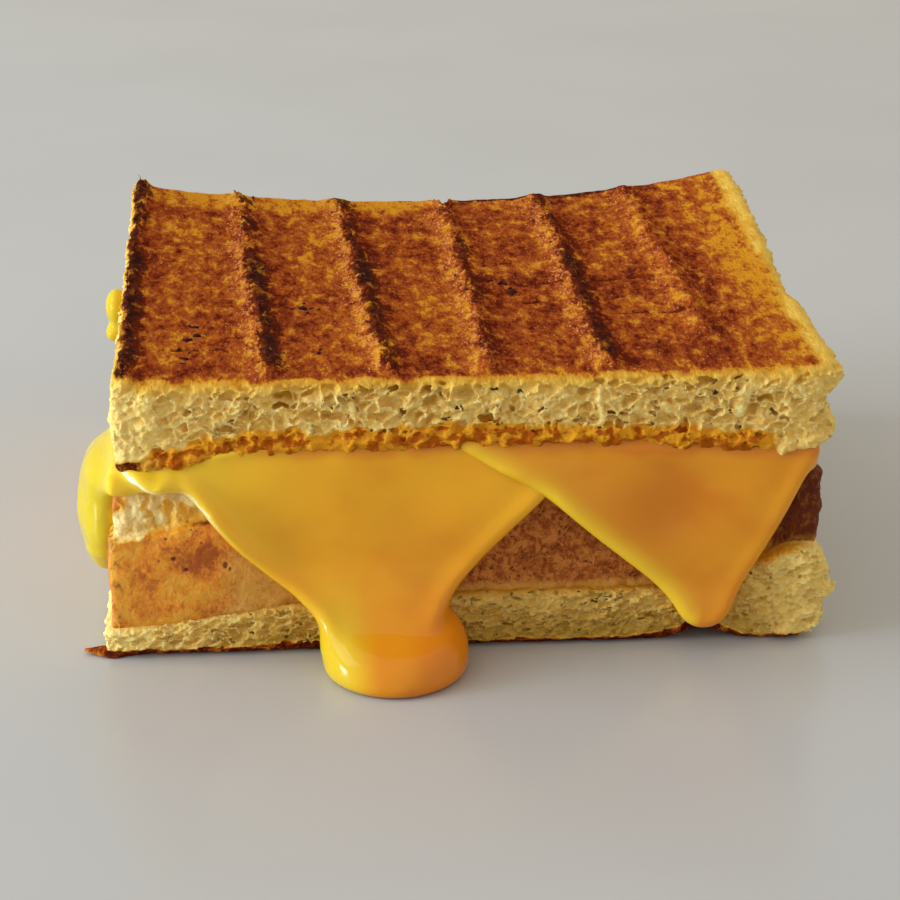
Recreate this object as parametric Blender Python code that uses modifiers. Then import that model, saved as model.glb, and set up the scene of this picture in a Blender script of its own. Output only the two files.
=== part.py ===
"""Toasted sandwich: two bread slices, a browned filling and two melted slices of cheese.

Every separate piece is one closed solid. Lengths are in metres. X runs from left to right, Y from
the front face to the back and Z up. The origin is the middle of the flat underside.
"""

import math

import bmesh
import bpy

NAME = "grilled_cheese_sandwich"

# Driving dimensions of the whole sandwich
WIDTH = 0.108
DEPTH = 0.095
TOAST_TOP = 0.0437
FILLING_TOP = 0.0272
CRUMB_TOP = 0.0067
GAP = 0.0005
UNEVEN = 0.0003

FRONT = -DEPTH / 2
BACK = DEPTH / 2
HALF = WIDTH / 2

# Top slice: its back corners curl up, and the grill has raised ridges across its top
TOAST_LEFT_FRONT = -0.0520
TOAST_LEFT_BACK = -0.0545
TOAST_RIGHT = 0.0542
TOAST_END_UNDER = 0.0305
TOAST_ARCH = 0.0040
TOAST_ARCH_SPAN = (-0.052, -0.028)
TOAST_RISE = 0.0012
TOAST_RISE_SPAN = (-0.012, 0.010)
TOAST_FALL = 0.0028
TOAST_FALL_SPAN = (0.026, 0.048)
TOAST_BACK_LIFT = 0.0010
TOAST_RAGGED = 0.0007
CURL_BACK = 0.0030
CURL_FRONT = 0.0005
CURL_POWER = 2.2
RIDGE_HEIGHT = 0.0013
RIDGE_HALF_WIDTH = 0.0021
RIDGE_BACK_X = (-0.0536, -0.0358, -0.0178, 0.0014, 0.0186, 0.0349)
RIDGE_FRONT_X = (-0.0512, -0.0293, -0.0120, 0.0030, 0.0206, 0.0371)

# Bottom slice: pressed thin, but fluffed up at its right end; a scrap of skin juts out at the left
SLICE_LEFT = -0.0557
SLICE_RIGHT = 0.0536
SLICE_BULGE = 0.0016
SLICE_BACK = BACK - 0.0006
SLICE_INSET = 0.0004
SLICE_STEP = 0.0021
SLICE_STEP_SPAN = (-0.045, -0.010)
SLICE_FLUFF = 0.0066
SLICE_FLUFF_SPAN = (0.031, 0.052)
SLICE_PUFF = (0.0008, 0.0080, 0.0060)
SCRAP_LENGTH = 0.0031
SCRAP_Y = -0.0440
SCRAP_HALF_WIDTH = 0.0050

# Filling: a thick piece with soft edges, golden and swollen at its left end
FILLING_LEFT = -0.0535
FILLING_RIGHT = 0.0518
FILLING_SOFT = 0.0024
FILLING_PILLOW = 0.0015
FILLING_SWELL = (0.0013, 0.0135, 0.0075)
FILLING_SWELL_SPAN = (0.020, 0.044)
FILLING_CREASE = (0.0007, 0.0205, 0.0016)
FILLING_CREASE_SPAN = (0.020, 0.040)
FILLING_CROWN = 0.0010
FILLING_RIGHT_RISE = 0.0006
FILLING_SIDE_LUMPS = 0.0008
FILLING_FRONT = FRONT + 0.0020
FILLING_BACK = BACK - 0.0012

# Cheese: two slices laid one over the other, each with a corner melted down over the front
BEND = 0.0030
CHEESE_THICK = 0.0030
CHEESE_RIM = 0.0012
CHEESE_BACK = 0.0455
HANG_SHARE = 0.62
BEND_SHARE = 0.78
LEFT_SHEET_X = (-0.0522, 0.0215)
RIGHT_SHEET_X = (-0.0130, 0.0512)
DRIP_THICK = 0.0066
DRIP_SPAN = (0.004, 0.019)
DROP_THICK = 0.0044
DROP_SPAN = (0.008, 0.020)
OVERLAP_SPAN = (-0.024, -0.012)
OVERLAP_SLOPE = (0.0007, 0.0068)
# Height, left edge and right edge of each hanging corner, from its end upwards
LEFT_CORNER = (
    (0.0028, -0.0212, -0.0040),
    (0.0070, -0.0232, -0.0046),
    (0.0100, -0.0268, -0.0036),
    (0.0160, -0.0338, 0.0028),
    (0.0225, -0.0402, 0.0094),
    (0.0272, -0.0468, 0.0150),
    (0.0300, -0.0522, 0.0190),
)
RIGHT_CORNER = (
    (0.0036, 0.0335, 0.0384),
    (0.0052, 0.0308, 0.0402),
    (0.0092, 0.0266, 0.0414),
    (0.0167, 0.0189, 0.0440),
    (0.0250, 0.0102, 0.0481),
    (0.0310, 0.0040, 0.0510),
)

# Puddle that the drip has made on the table
PUDDLE_X = -0.0123
PUDDLE_Y = -0.0526
PUDDLE_RADIUS = 0.0112
PUDDLE_FOOT = 0.0092
PUDDLE_HEIGHT = 0.0070
PUDDLE_WAIST = 0.0038
PUDDLE_SHOULDER = 0.0069
PUDDLE_STEPS = 28

# Lobe of cheese that hangs over the left side
LOBE_Y = -0.0280
LOBE_HALF_LENGTH = 0.0125
LOBE_DROP = 0.0215
LOBE_THICK = 0.0056
LOBE_ROOT = 0.0070
LOBE_ROOT_THICK = 0.0012
LOBE_OUT = (-0.001, 0.004)

# Bit of cheese squeezed out further back on the left, on a short neck: centres and radii
BLOB_NECK = ((-0.0540, 0.0200, 0.0291), (0.0045, 0.0034, 0.0012))
BLOB_BALL = ((-0.0572, 0.0200, 0.0318), (0.0021, 0.0040, 0.0044))


def ramp(value, start, end):
    """Rise smoothly from 0 at start to 1 at end."""
    t = min(max((value - start) / (end - start), 0.0), 1.0)
    return t * t * (3.0 - 2.0 * t)


def hump(value, centre, half_width):
    """A smooth bump of height 1 at centre."""
    return math.exp(-(((value - centre) / half_width) ** 2))


def lerp(start, end, t):
    """The value a share t of the way from start to end."""
    return start + (end - start) * t


def lumps(a, b, wave, phase):
    """Gentle unevenness between -1 and 1 over two directions, repeating about every wave."""
    k = 2.0 * math.pi / wave
    first = math.sin(k * a + 1.7 * math.sin(0.6 * k * b + phase))
    second = math.sin(1.37 * k * b + 1.3 * math.sin(0.8 * k * a - phase))
    return 0.5 * (first + second)


def crumb_top(x, y):
    """Height of the bottom slice's upper side."""
    step = SLICE_STEP * ramp(x, *SLICE_STEP_SPAN)
    fluff = SLICE_FLUFF * ramp(x, *SLICE_FLUFF_SPAN)
    return CRUMB_TOP + step + fluff + UNEVEN * lumps(x, y, 0.031, 0.4)


def filling_top(x, y):
    """Height of the filling's upper side."""
    crown = FILLING_CROWN * (1.0 - (x / HALF) ** 2)
    rise = FILLING_RIGHT_RISE * ramp(x, 0.0, HALF)
    return FILLING_TOP + crown + rise + UNEVEN * lumps(x, y, 0.043, 1.1)


def toast_under(x, y):
    """Height of the top slice's lower side, which arches over the two cheese slices."""
    arch = TOAST_ARCH * ramp(x, *TOAST_ARCH_SPAN)
    rise = TOAST_RISE * ramp(x, *TOAST_RISE_SPAN)
    fall = TOAST_FALL * ramp(x, *TOAST_FALL_SPAN)
    back = TOAST_BACK_LIFT * (x / HALF) ** 2 * ramp(y, FRONT, BACK)
    return TOAST_END_UNDER + arch + rise - fall + back


def toast_over(x, y):
    """Height of the top slice's upper side without its ridges: a saddle with its back corners up."""
    depth = (y - FRONT) / DEPTH
    curl = lerp(CURL_FRONT, CURL_BACK, depth)
    return TOAST_TOP + curl * abs(x / HALF) ** CURL_POWER


def ridge(x, y):
    """Share of the full ridge height at a place on the toast."""
    depth = (y - FRONT) / DEPTH
    highest = 0.0
    for front_x, back_x in zip(RIDGE_FRONT_X, RIDGE_BACK_X):
        centre = lerp(front_x, back_x, depth)
        highest = max(highest, hump(x, centre, RIDGE_HALF_WIDTH))
    fade = ramp(depth, -0.02, 0.05)
    return highest * fade


def filling_front(x, z):
    """Y of the filling's front face, which swells at its left end and has a crease below its top."""
    size, height, half_height = FILLING_SWELL
    swell = size * ramp(-x, *FILLING_SWELL_SPAN) * hump(z, height, half_height)
    size, height, half_height = FILLING_CREASE
    crease = size * ramp(-x, *FILLING_CREASE_SPAN) * hump(z, height, half_height)
    return FILLING_FRONT - swell + crease + UNEVEN * lumps(x, z, 0.037, 2.0)


def slice_front(x, z):
    """Y of the bottom slice's front face."""
    size, height, half_height = SLICE_PUFF
    puff = size * ramp(x, *SLICE_FLUFF_SPAN) * hump(z, height, half_height)
    return FRONT + SLICE_INSET - puff + UNEVEN * lumps(x, z, 0.029, 0.7)


def block(name, cells, place):
    """Make a closed solid from a cube whose faces are gridded and then moved by place(u, v, w)."""
    mesh = bpy.data.meshes.new(name)
    shape = bmesh.new()
    bmesh.ops.create_cube(shape, size=1.0)
    for axis, count in enumerate(cells):
        along = [edge for edge in shape.edges if is_along(edge, axis)]
        bmesh.ops.subdivide_edges(shape, edges=along, cuts=count - 1, use_grid_fill=True)
    for vertex in shape.verts:
        u, v, w = (value + 0.5 for value in vertex.co)
        vertex.co = place(u, v, w)
    bmesh.ops.recalc_face_normals(shape, faces=shape.faces)
    shape.to_mesh(mesh)
    shape.free()
    mesh.shade_smooth()
    return bpy.data.objects.new(name, mesh)


def is_along(edge, axis):
    """Whether a cube's edge runs along one axis."""
    step = edge.verts[1].co - edge.verts[0].co
    return abs(step[axis]) > 1e-6 and step.length - abs(step[axis]) < 1e-6


def place_toast(u, v, w):
    """Top slice: flat cut sides, arched underside, curled and ridged top."""
    y = lerp(FRONT, BACK, v)
    left = lerp(TOAST_LEFT_FRONT, TOAST_LEFT_BACK, v)
    x = lerp(left, TOAST_RIGHT, u)
    top = toast_over(x, y) + RIDGE_HEIGHT * ridge(x, y)
    z = lerp(toast_under(x, y), top, w)
    ragged = TOAST_RAGGED * ramp(u, 0.9, 1.0) * lumps(y, z, 0.017, 0.2)
    return x + ragged, y + UNEVEN * (1.0 - v) * lumps(x, z, 0.023, 1.4), z


def slice_place(grow):
    """Bottom slice, or the same shape grown on every side but its base to cut what lies against it."""

    def place(u, v, w):
        y_mid = lerp(FRONT, BACK, v)
        x = lerp(SLICE_LEFT - grow, SLICE_RIGHT + grow, u)
        z = lerp(0.0, crumb_top(x, y_mid) + grow, w)
        low_left = (1.0 - ramp(w, 0.0, 0.4)) * (1.0 - ramp(u, 0.0, 0.1))
        scrap = SCRAP_LENGTH * low_left * hump(y_mid, SCRAP_Y, SCRAP_HALF_WIDTH)
        bulge = SLICE_BULGE * ramp(u, 0.9, 1.0) * 4.0 * w * (1.0 - w)
        y = lerp(slice_front(x, z) - grow, SLICE_BACK + grow, v)
        return x - scrap + bulge, y, z

    return place


def place_filling(u, v, w):
    """Filling: soft rounded edges and a swollen front."""
    soft = FILLING_SOFT * abs(2.0 * w - 1.0) ** 4
    x = lerp(FILLING_LEFT, FILLING_RIGHT, u)
    y_mid = lerp(FRONT, BACK, v)
    rim = max(abs(2.0 * u - 1.0), abs(2.0 * v - 1.0)) ** 8
    under = crumb_top(x, y_mid) + GAP
    top = filling_top(x, y_mid) - FILLING_PILLOW * rim
    z = lerp(under, top, w)
    y = lerp(filling_front(x, z) + soft, FILLING_BACK - soft, v)
    side = (2.0 * u - 1.0) * abs(2.0 * u - 1.0) ** 6
    x += side * (FILLING_SIDE_LUMPS * lumps(y, z, 0.023, 0.9) - soft)
    return x, y, z


def layer_room(x, y):
    """Height between the filling and the top slice."""
    return toast_under(x, y) - filling_top(x, y)


def left_thick(x, y):
    """Thickness of the left cheese slice inside the sandwich."""
    both = ramp(x, *OVERLAP_SPAN)
    room = layer_room(x, y)
    return lerp(room - 2.0 * GAP, (room - 3.0 * GAP) / 2.0, both)


def right_lift(x, y):
    """How far the right cheese slice lies above the filling, being over the left slice's edge."""
    start, end = (LEFT_SHEET_X[1] + step for step in OVERLAP_SLOPE)
    over = 1.0 - ramp(x, start, end)
    return over * ((layer_room(x, y) - 3.0 * GAP) / 2.0 + GAP)


def corner_edges(corner, z):
    """Left and right edge of a hanging corner at one height, between its stated points."""
    heights = [row[0] for row in corner]
    z = min(max(z, heights[0]), heights[-1])
    index = max(i for i, height in enumerate(heights[:-1]) if height <= z)
    before, after = corner[index], corner[index + 1]
    t = (z - before[0]) / (after[0] - before[0])
    return tuple(lerp(before[side], after[side], t) for side in (1, 2))


def over_front(x, run, lift):
    """Point at a height lift over the filling, run past the start of the bend over its front edge."""
    y_start = FILLING_FRONT - GAP + BEND
    top = filling_top(x, FRONT) + GAP
    if run <= 0.0:
        y = y_start - run
        return x, y, filling_top(x, y) + GAP + lift
    angle = min(run / BEND, math.pi / 2.0)
    turned = BEND + lift
    y = y_start - turned * math.sin(angle)
    z = top - BEND + turned * math.cos(angle)
    down = run - BEND * math.pi / 2.0
    if down <= 0.0:
        return x, y, z
    z -= down
    wall = min(filling_front(x, z), slice_front(x, z)) - GAP
    y = lerp(y, wall - lift, ramp(down, 0.0, 0.006))
    return x, y, z


def run_at(x, z):
    """The run along the drape at which it reaches a height on the front face."""
    return BEND * math.pi / 2.0 + filling_top(x, FRONT) + GAP - BEND - z


def cheese_place(corner, inside_x, hang_thick, inside_thick, lift_at):
    """Cheese slice: flat inside the sandwich, bent over the front and hanging as a corner.

    The lower share of v is the hanging corner, the upper share the flat part inside.
    """
    end_z = corner[0][0]
    top_z = corner[-1][0]
    start_y = FILLING_FRONT - GAP + BEND

    def place(u, v, w):
        if v < HANG_SHARE:
            z = lerp(end_z, FILLING_TOP - BEND, v / HANG_SHARE)
            x = lerp(*corner_edges(corner, z), u)
            run = run_at(x, z)
            thick = hang_thick(z)
        elif v < BEND_SHARE:
            t = (v - HANG_SHARE) / (BEND_SHARE - HANG_SHARE)
            z = lerp(FILLING_TOP - BEND, top_z, t)
            x = lerp(*corner_edges(corner, z), u)
            run = lerp(run_at(x, FILLING_TOP - BEND), 0.0, t)
            thick = lerp(hang_thick(z), inside_thick(x, FRONT), ramp(t, 0.3, 1.0))
        else:
            t = (v - BEND_SHARE) / (1.0 - BEND_SHARE)
            hung = lerp(*corner_edges(corner, top_z), u)
            x = lerp(hung, lerp(*inside_x, u), ramp(t, 0.0, 0.5))
            run = -lerp(0.0, CHEESE_BACK - start_y, t)
            thick = inside_thick(x, start_y - run)
        edge = max(abs(2.0 * u - 1.0) ** 6, 1.0 - ramp(v, 0.0, 0.07))
        rim = min(CHEESE_RIM, 0.45 * thick)
        inset = 0.5 * edge * (thick - rim)
        lift = lift_at(x, v, run) + lerp(0.4 * inset, thick - 1.6 * inset, w)
        return over_front(x, run, lift)

    return place


def over_left(y, run, lift):
    """Point at a height lift over the filling, run past the start of the bend over its left edge."""
    x_start = FILLING_LEFT - GAP - FILLING_SIDE_LUMPS + BEND
    if run <= 0.0:
        x = x_start - run
        return x, y, filling_top(x, y) + GAP + lift
    angle = min(run / BEND, math.pi / 2.0)
    turned = BEND + lift
    down = max(run - BEND * math.pi / 2.0, 0.0)
    x = x_start - turned * math.sin(angle)
    z = filling_top(x_start, y) + GAP - BEND + turned * math.cos(angle) - down
    return x, y, z


def place_lobe(u, v, w):
    """Tongue of cheese that starts inside the left slice and hangs with a round, swollen end."""
    run = LOBE_DROP - (LOBE_DROP + LOBE_ROOT) * u**1.6
    out = ramp(run, *LOBE_OUT)
    end = math.sqrt(max(1.0 - ramp(run, 0.2 * LOBE_DROP, LOBE_DROP) ** 2, 0.0))
    across = 2.0 * v - 1.0
    y = LOBE_Y + LOBE_HALF_LENGTH * across * lerp(1.0, max(end, 0.3), out)
    swell = LOBE_THICK * (1.0 - 0.6 * across**4) * max(end, 0.25)
    thick = lerp(LOBE_ROOT_THICK, swell, out)
    start = lerp(LOBE_ROOT_THICK / 2.0, 0.35 * (LOBE_THICK - thick), out)
    return over_left(y, run, start + thick * w)


def ball(name, centre, radii):
    """Ellipsoid with a radius along each axis."""
    mesh = bpy.data.meshes.new(name)
    shape = bmesh.new()
    bmesh.ops.create_uvsphere(shape, u_segments=12, v_segments=8, radius=1.0)
    bmesh.ops.scale(shape, vec=radii, verts=shape.verts)
    shape.to_mesh(mesh)
    shape.free()
    made = bpy.data.objects.new(name, mesh)
    made.location = centre
    return made


def puddle():
    """Button-shaped puddle: a turned profile that bulges out above its flat foot."""
    rows = 7
    mesh = bpy.data.meshes.new("puddle")
    shape = bmesh.new()
    points = [(0.0, PUDDLE_HEIGHT)]
    for row in range(rows + 1):
        angle = math.pi / 2.0 * (1.0 - row / rows)
        x = PUDDLE_SHOULDER + (PUDDLE_RADIUS - PUDDLE_SHOULDER) * math.cos(angle)
        points.append((x, PUDDLE_WAIST + (PUDDLE_HEIGHT - PUDDLE_WAIST) * math.sin(angle)))
    points.append((lerp(PUDDLE_RADIUS, PUDDLE_FOOT, 0.35), 0.35 * PUDDLE_WAIST))
    points.append((PUDDLE_FOOT, 0.0))
    points.append((0.0, 0.0))
    verts = [shape.verts.new((x, 0.0, z)) for x, z in points]
    for first, second in zip(verts, verts[1:]):
        shape.edges.new((first, second))
    shape.to_mesh(mesh)
    shape.free()
    turned = bpy.data.objects.new("puddle", mesh)
    turned.location = (PUDDLE_X, PUDDLE_Y, 0.0)
    screw = turned.modifiers.new("turn", "SCREW")
    screw.steps = PUDDLE_STEPS
    screw.render_steps = PUDDLE_STEPS
    screw.use_merge_vertices = True
    screw.merge_threshold = 0.00001
    return turned


def boolean(target, tool, operation):
    """Join a tool to the target, or cut it away, with an exact Boolean."""
    step = target.modifiers.new(tool.name, "BOOLEAN")
    step.operation = operation
    step.object = tool
    step.solver = "EXACT"


def material(name, color, roughness):
    """A Principled material of one colour, in linear light."""
    made = bpy.data.materials.new(name)
    made.use_nodes = True
    shader = made.node_tree.nodes["Principled BSDF"]
    shader.inputs["Base Color"].default_value = (*color, 1.0)
    shader.inputs["Roughness"].default_value = roughness
    shader.inputs["Metallic"].default_value = 0.0
    return made


def collection(name):
    """A new collection in the scene."""
    made = bpy.data.collections.new(name)
    bpy.context.scene.collection.children.link(made)
    return made


def add_piece(parts, piece, finish):
    """Put a finished piece in its collection, with its material."""
    piece.data.materials.append(finish)
    parts.objects.link(piece)


def add_tool(tools, tool):
    """Put a helper shape in the collection of shapes that are only cut or joined."""
    tool.hide_render = True
    tool.display_type = "WIRE"
    tools.objects.link(tool)
    return tool


def drip_thick(z):
    """Thickness of the left corner, which runs together into a thick drip."""
    return lerp(DRIP_THICK, CHEESE_THICK, ramp(z, *DRIP_SPAN))


def drop_thick(z):
    """Thickness of the right corner, which ends in a drop."""
    return lerp(DROP_THICK, CHEESE_THICK, ramp(z, *DROP_SPAN))


def over_left_sheet(x, v, run):
    """Lift of the right cheese slice, on top of the left one where they overlap."""
    z = FILLING_TOP + GAP - BEND - (run - BEND * math.pi / 2.0)
    edge = corner_edges(LEFT_CORNER, z)[1]
    start, end = (edge + step for step in OVERLAP_SLOPE)
    over = 1.0 - ramp(x, start, end)
    hanging = over * (drip_thick(z) + GAP)
    inside = right_lift(x, FRONT - min(run, 0.0))
    return lerp(hanging, inside, ramp(-run, -BEND * math.pi / 2.0, 0.0))


def build():
    """Make every piece of the sandwich."""
    parts = collection(NAME)
    tools = collection(NAME + "_tools")
    crust = material("toasted_bread", (0.42, 0.17, 0.04), 0.6)
    crumb = material("bread_crumb", (0.62, 0.42, 0.16), 0.85)
    browned = material("browned_filling", (0.36, 0.15, 0.04), 0.5)
    melted = material("melted_cheese", (0.83, 0.42, 0.02), 0.3)

    add_piece(parts, block("bread_top", (46, 8, 3), place_toast), crust)
    add_piece(parts, block("bread_bottom", (20, 10, 3), slice_place(0.0)), crumb)
    add_piece(parts, block("browned_filling", (20, 10, 6), place_filling), browned)

    left = cheese_place(LEFT_CORNER, LEFT_SHEET_X, drip_thick, left_thick, lambda x, v, run: 0.0)
    cheese_left = block("cheese_left", (16, 20, 2), left)
    add_piece(parts, cheese_left, melted)
    boolean(cheese_left, add_tool(tools, puddle()), "UNION")
    boolean(cheese_left, add_tool(tools, block("lobe", (12, 8, 2), place_lobe)), "UNION")
    boolean(cheese_left, add_tool(tools, ball("blob_neck", *BLOB_NECK)), "UNION")
    boolean(cheese_left, add_tool(tools, ball("blob_ball", *BLOB_BALL)), "UNION")
    cutter = add_tool(tools, block("slice_cutter", (20, 10, 3), slice_place(GAP)))
    boolean(cheese_left, cutter, "DIFFERENCE")

    def right_thick(x, y):
        return layer_room(x, y) - 2.0 * GAP - right_lift(x, y)

    right = cheese_place(RIGHT_CORNER, RIGHT_SHEET_X, drop_thick, right_thick, over_left_sheet)
    add_piece(parts, block("cheese_right", (14, 20, 2), right), melted)


for old in list(bpy.data.objects):
    bpy.data.objects.remove(old)
build()
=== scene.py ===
"""Looks of a toasted cheese sandwich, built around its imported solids.

Every piece is worked out in millimetres, as a field that is negative inside the food, and is turned
into metres when its mesh is made. X runs from left to right, Y from front to back and Z up.
"""

import itertools
import logging
import math
from dataclasses import dataclass, field
from enum import Enum

import bpy
import numpy as np
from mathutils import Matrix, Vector


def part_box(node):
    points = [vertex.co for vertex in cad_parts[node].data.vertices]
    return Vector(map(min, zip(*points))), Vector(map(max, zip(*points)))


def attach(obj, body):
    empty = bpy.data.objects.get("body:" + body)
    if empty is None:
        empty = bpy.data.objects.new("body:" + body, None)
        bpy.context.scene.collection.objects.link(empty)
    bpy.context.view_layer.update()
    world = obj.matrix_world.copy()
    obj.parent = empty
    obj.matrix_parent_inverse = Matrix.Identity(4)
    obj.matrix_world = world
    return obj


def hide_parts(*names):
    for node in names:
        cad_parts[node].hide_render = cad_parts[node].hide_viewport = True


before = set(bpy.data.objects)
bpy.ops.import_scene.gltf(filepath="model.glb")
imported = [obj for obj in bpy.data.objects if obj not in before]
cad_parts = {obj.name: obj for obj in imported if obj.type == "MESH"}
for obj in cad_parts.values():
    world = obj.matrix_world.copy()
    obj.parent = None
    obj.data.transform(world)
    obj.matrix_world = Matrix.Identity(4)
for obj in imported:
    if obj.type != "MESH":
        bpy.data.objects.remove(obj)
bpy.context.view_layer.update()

MM = 0.001
COARSE = 1.0
FAR_AWAY = 9.0

log = logging.getLogger("sandwich")
Array = np.ndarray
Colour = tuple[float, float, float]
Size = tuple[float, float, float]
Place = tuple[float, float, float]
Line = tuple[tuple[float, float], ...]


# ---------------------------------------------------------------- smooth steps and random fields


def ramp(value: Array | float, start: float, end: float) -> Array:
    """Rise smoothly from 0 at start to 1 at end."""
    t = np.clip((np.asarray(value, np.float32) - start) / (end - start), 0.0, 1.0)
    return t * t * (3.0 - 2.0 * t)


def fall(value: Array | float, start: float, end: float) -> Array:
    """Fall smoothly from 1 at start to 0 at end."""
    return 1.0 - ramp(value, start, end)


def band(value: Array | float, start: float, full: float, fading: float, end: float) -> Array:
    """Rise smoothly from 0 at start to 1 at full, and fall again from fading to end."""
    return ramp(value, start, full) * fall(value, fading, end)


def hump(value: Array | float, centre: Array | float, width: float) -> Array:
    """A smooth bump, 1 high at its centre and about a third of that at its width."""
    return np.exp(-(((np.asarray(value, np.float32) - centre) / width) ** 2))


def mix(start: Array | float, end: Array | float, t: Array | float) -> Array:
    """The value a share t of the way from start to end."""
    return start + (end - start) * t


def smooth_max(a: Array, b: Array, round_by: float) -> Array:
    """Field of what lies in both of two shapes, with the edge between them rounded."""
    h = np.clip(1.0 - np.abs(a - b) / round_by, 0.0, None)
    return np.maximum(a, b) + h * h * (round_by / 4.0)


def smooth_min(a: Array, b: Array, blend_by: float) -> Array:
    """Field of two shapes that melt together."""
    return -smooth_max(-a, -b, blend_by)


def walls(x: Array, y: Array, ends: tuple[Array, Array], faces: tuple[Array, Array], corner: float) -> Array:
    """Field of four upright sides.

    Args:
        x, y: Places along each axis.
        ends: X of the left and the right side.
        faces: Y of the front and the back side.
        corner: Distance over which the sides are blended at the corners.

    Returns:
        The field, negative between the sides.
    """
    across = smooth_max(ends[0] - x, x - ends[1], 1.0)
    along = smooth_max(faces[0] - y, y - faces[1], 1.0)
    return smooth_max(across, along, corner)


class Lattice:
    """Smooth random field, repeatable from its seed."""

    SIZE = 64
    SHIFT = np.float32(97.3)
    FINER = 0.47

    def __init__(self, seed: int) -> None:
        """Draw the lattice, starting from the seed."""
        rng = np.random.default_rng(seed)
        self.values = rng.random((self.SIZE,) * 3, dtype=np.float32) * 2.0 - 1.0

    def at(self, x: Array, y: Array, z: Array, wave: float | tuple[float, float, float]) -> Array:
        """Value between -1 and 1 at each point.

        Args:
            x, y, z: Places along each axis.
            wave: Size of the unevenness, the same or one for each axis.

        Returns:
            The smooth random value.
        """
        waves = (wave,) * 3 if isinstance(wave, (int, float)) else wave
        cells, shares = [], []
        for place, size in zip((x, y, z), waves):
            q = np.atleast_1d(np.asarray(place, np.float32)) / np.float32(size) + self.SHIFT
            base = np.floor(q)
            t = q - base
            cells.append(base.astype(np.int32))
            shares.append(t * t * (3.0 - 2.0 * t))
        i, j, k = cells
        tx, ty, tz = shares
        last = self.SIZE - 1
        i0, i1, j0, j1 = i & last, (i + 1) & last, j & last, (j + 1) & last
        k0, k1 = k & last, (k + 1) & last
        v = self.values
        near = mix(mix(v[i0, j0, k0], v[i1, j0, k0], tx), mix(v[i0, j1, k0], v[i1, j1, k0], tx), ty)
        far = mix(mix(v[i0, j0, k1], v[i1, j0, k1], tx), mix(v[i0, j1, k1], v[i1, j1, k1], tx), ty)
        return mix(near, far, tz)

    def rough(self, x: Array, y: Array, z: Array, wave: float, octaves: int = 3) -> Array:
        """Unevenness with finer and finer detail.

        Args:
            x, y, z: Places along each axis.
            wave: Size of the coarsest unevenness.
            octaves: How many times the detail is halved.

        Returns:
            The random value, mostly between -1 and 1.
        """
        total, strength, size = 0.0, 1.0, wave
        for _ in range(octaves):
            total = total + strength * self.at(x, y, z, size)
            strength *= 0.5
            size *= self.FINER
        return total / 1.6


class Bubbles:
    """Foam: cells of many sizes, parted by thin walls."""

    SIZE = 64
    SHIFT = np.float32(51.7)

    def __init__(self, seed: int, pitch: tuple[float, float, float], spread: float) -> None:
        """Draw the cells.

        Args:
            seed: Number that the draw starts from.
            pitch: Mean distance between cells along each axis.
            spread: How unequal the cells are, as a share of the pitch.
        """
        rng = np.random.default_rng(seed)
        self.pitch = pitch
        self.centre = rng.random((self.SIZE,) * 3 + (3,), dtype=np.float32)
        self.swell = spread * rng.random((self.SIZE,) * 3, dtype=np.float32)
        self.rank = rng.random((self.SIZE,) * 3, dtype=np.float32)

    def at(self, x: Array, y: Array, z: Array) -> tuple[Array, Array]:
        """Distance to the nearest wall and a random share for the cell.

        Args:
            x, y, z: Places along each axis.

        Returns:
            The distance, roughly in millimetres, and the share between 0 and 1.
        """
        scale = np.float32(sum(self.pitch) / 3.0)
        places = [np.asarray(p, np.float32) / np.float32(size) for p, size in zip((x, y, z), self.pitch)]
        places = [p + self.SHIFT for p in places]
        base = [np.floor(p) for p in places]
        part = [p - b for p, b in zip(places, base)]
        cell = [b.astype(np.int32) for b in base]
        first = np.full(part[0].shape, FAR_AWAY, np.float32)
        second = first.copy()
        rank = np.zeros_like(first)
        last = self.SIZE - 1
        for di in (-1, 0, 1):
            for dj in (-1, 0, 1):
                for dk in (-1, 0, 1):
                    at = ((cell[0] + di) & last, (cell[1] + dj) & last, (cell[2] + dk) & last)
                    centre = self.centre[at]
                    dx = centre[..., 0] + di - part[0]
                    dy = centre[..., 1] + dj - part[1]
                    dz = centre[..., 2] + dk - part[2]
                    d = np.sqrt(dx * dx + dy * dy + dz * dz) - self.swell[at]
                    second = np.minimum(second, np.maximum(first, d))
                    rank = np.where(d < first, self.rank[at], rank)
                    first = np.minimum(first, d)
        return (second - first) * (scale / 2.0), rank


# ---------------------------------------------------------------- from a field to a mesh


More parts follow.
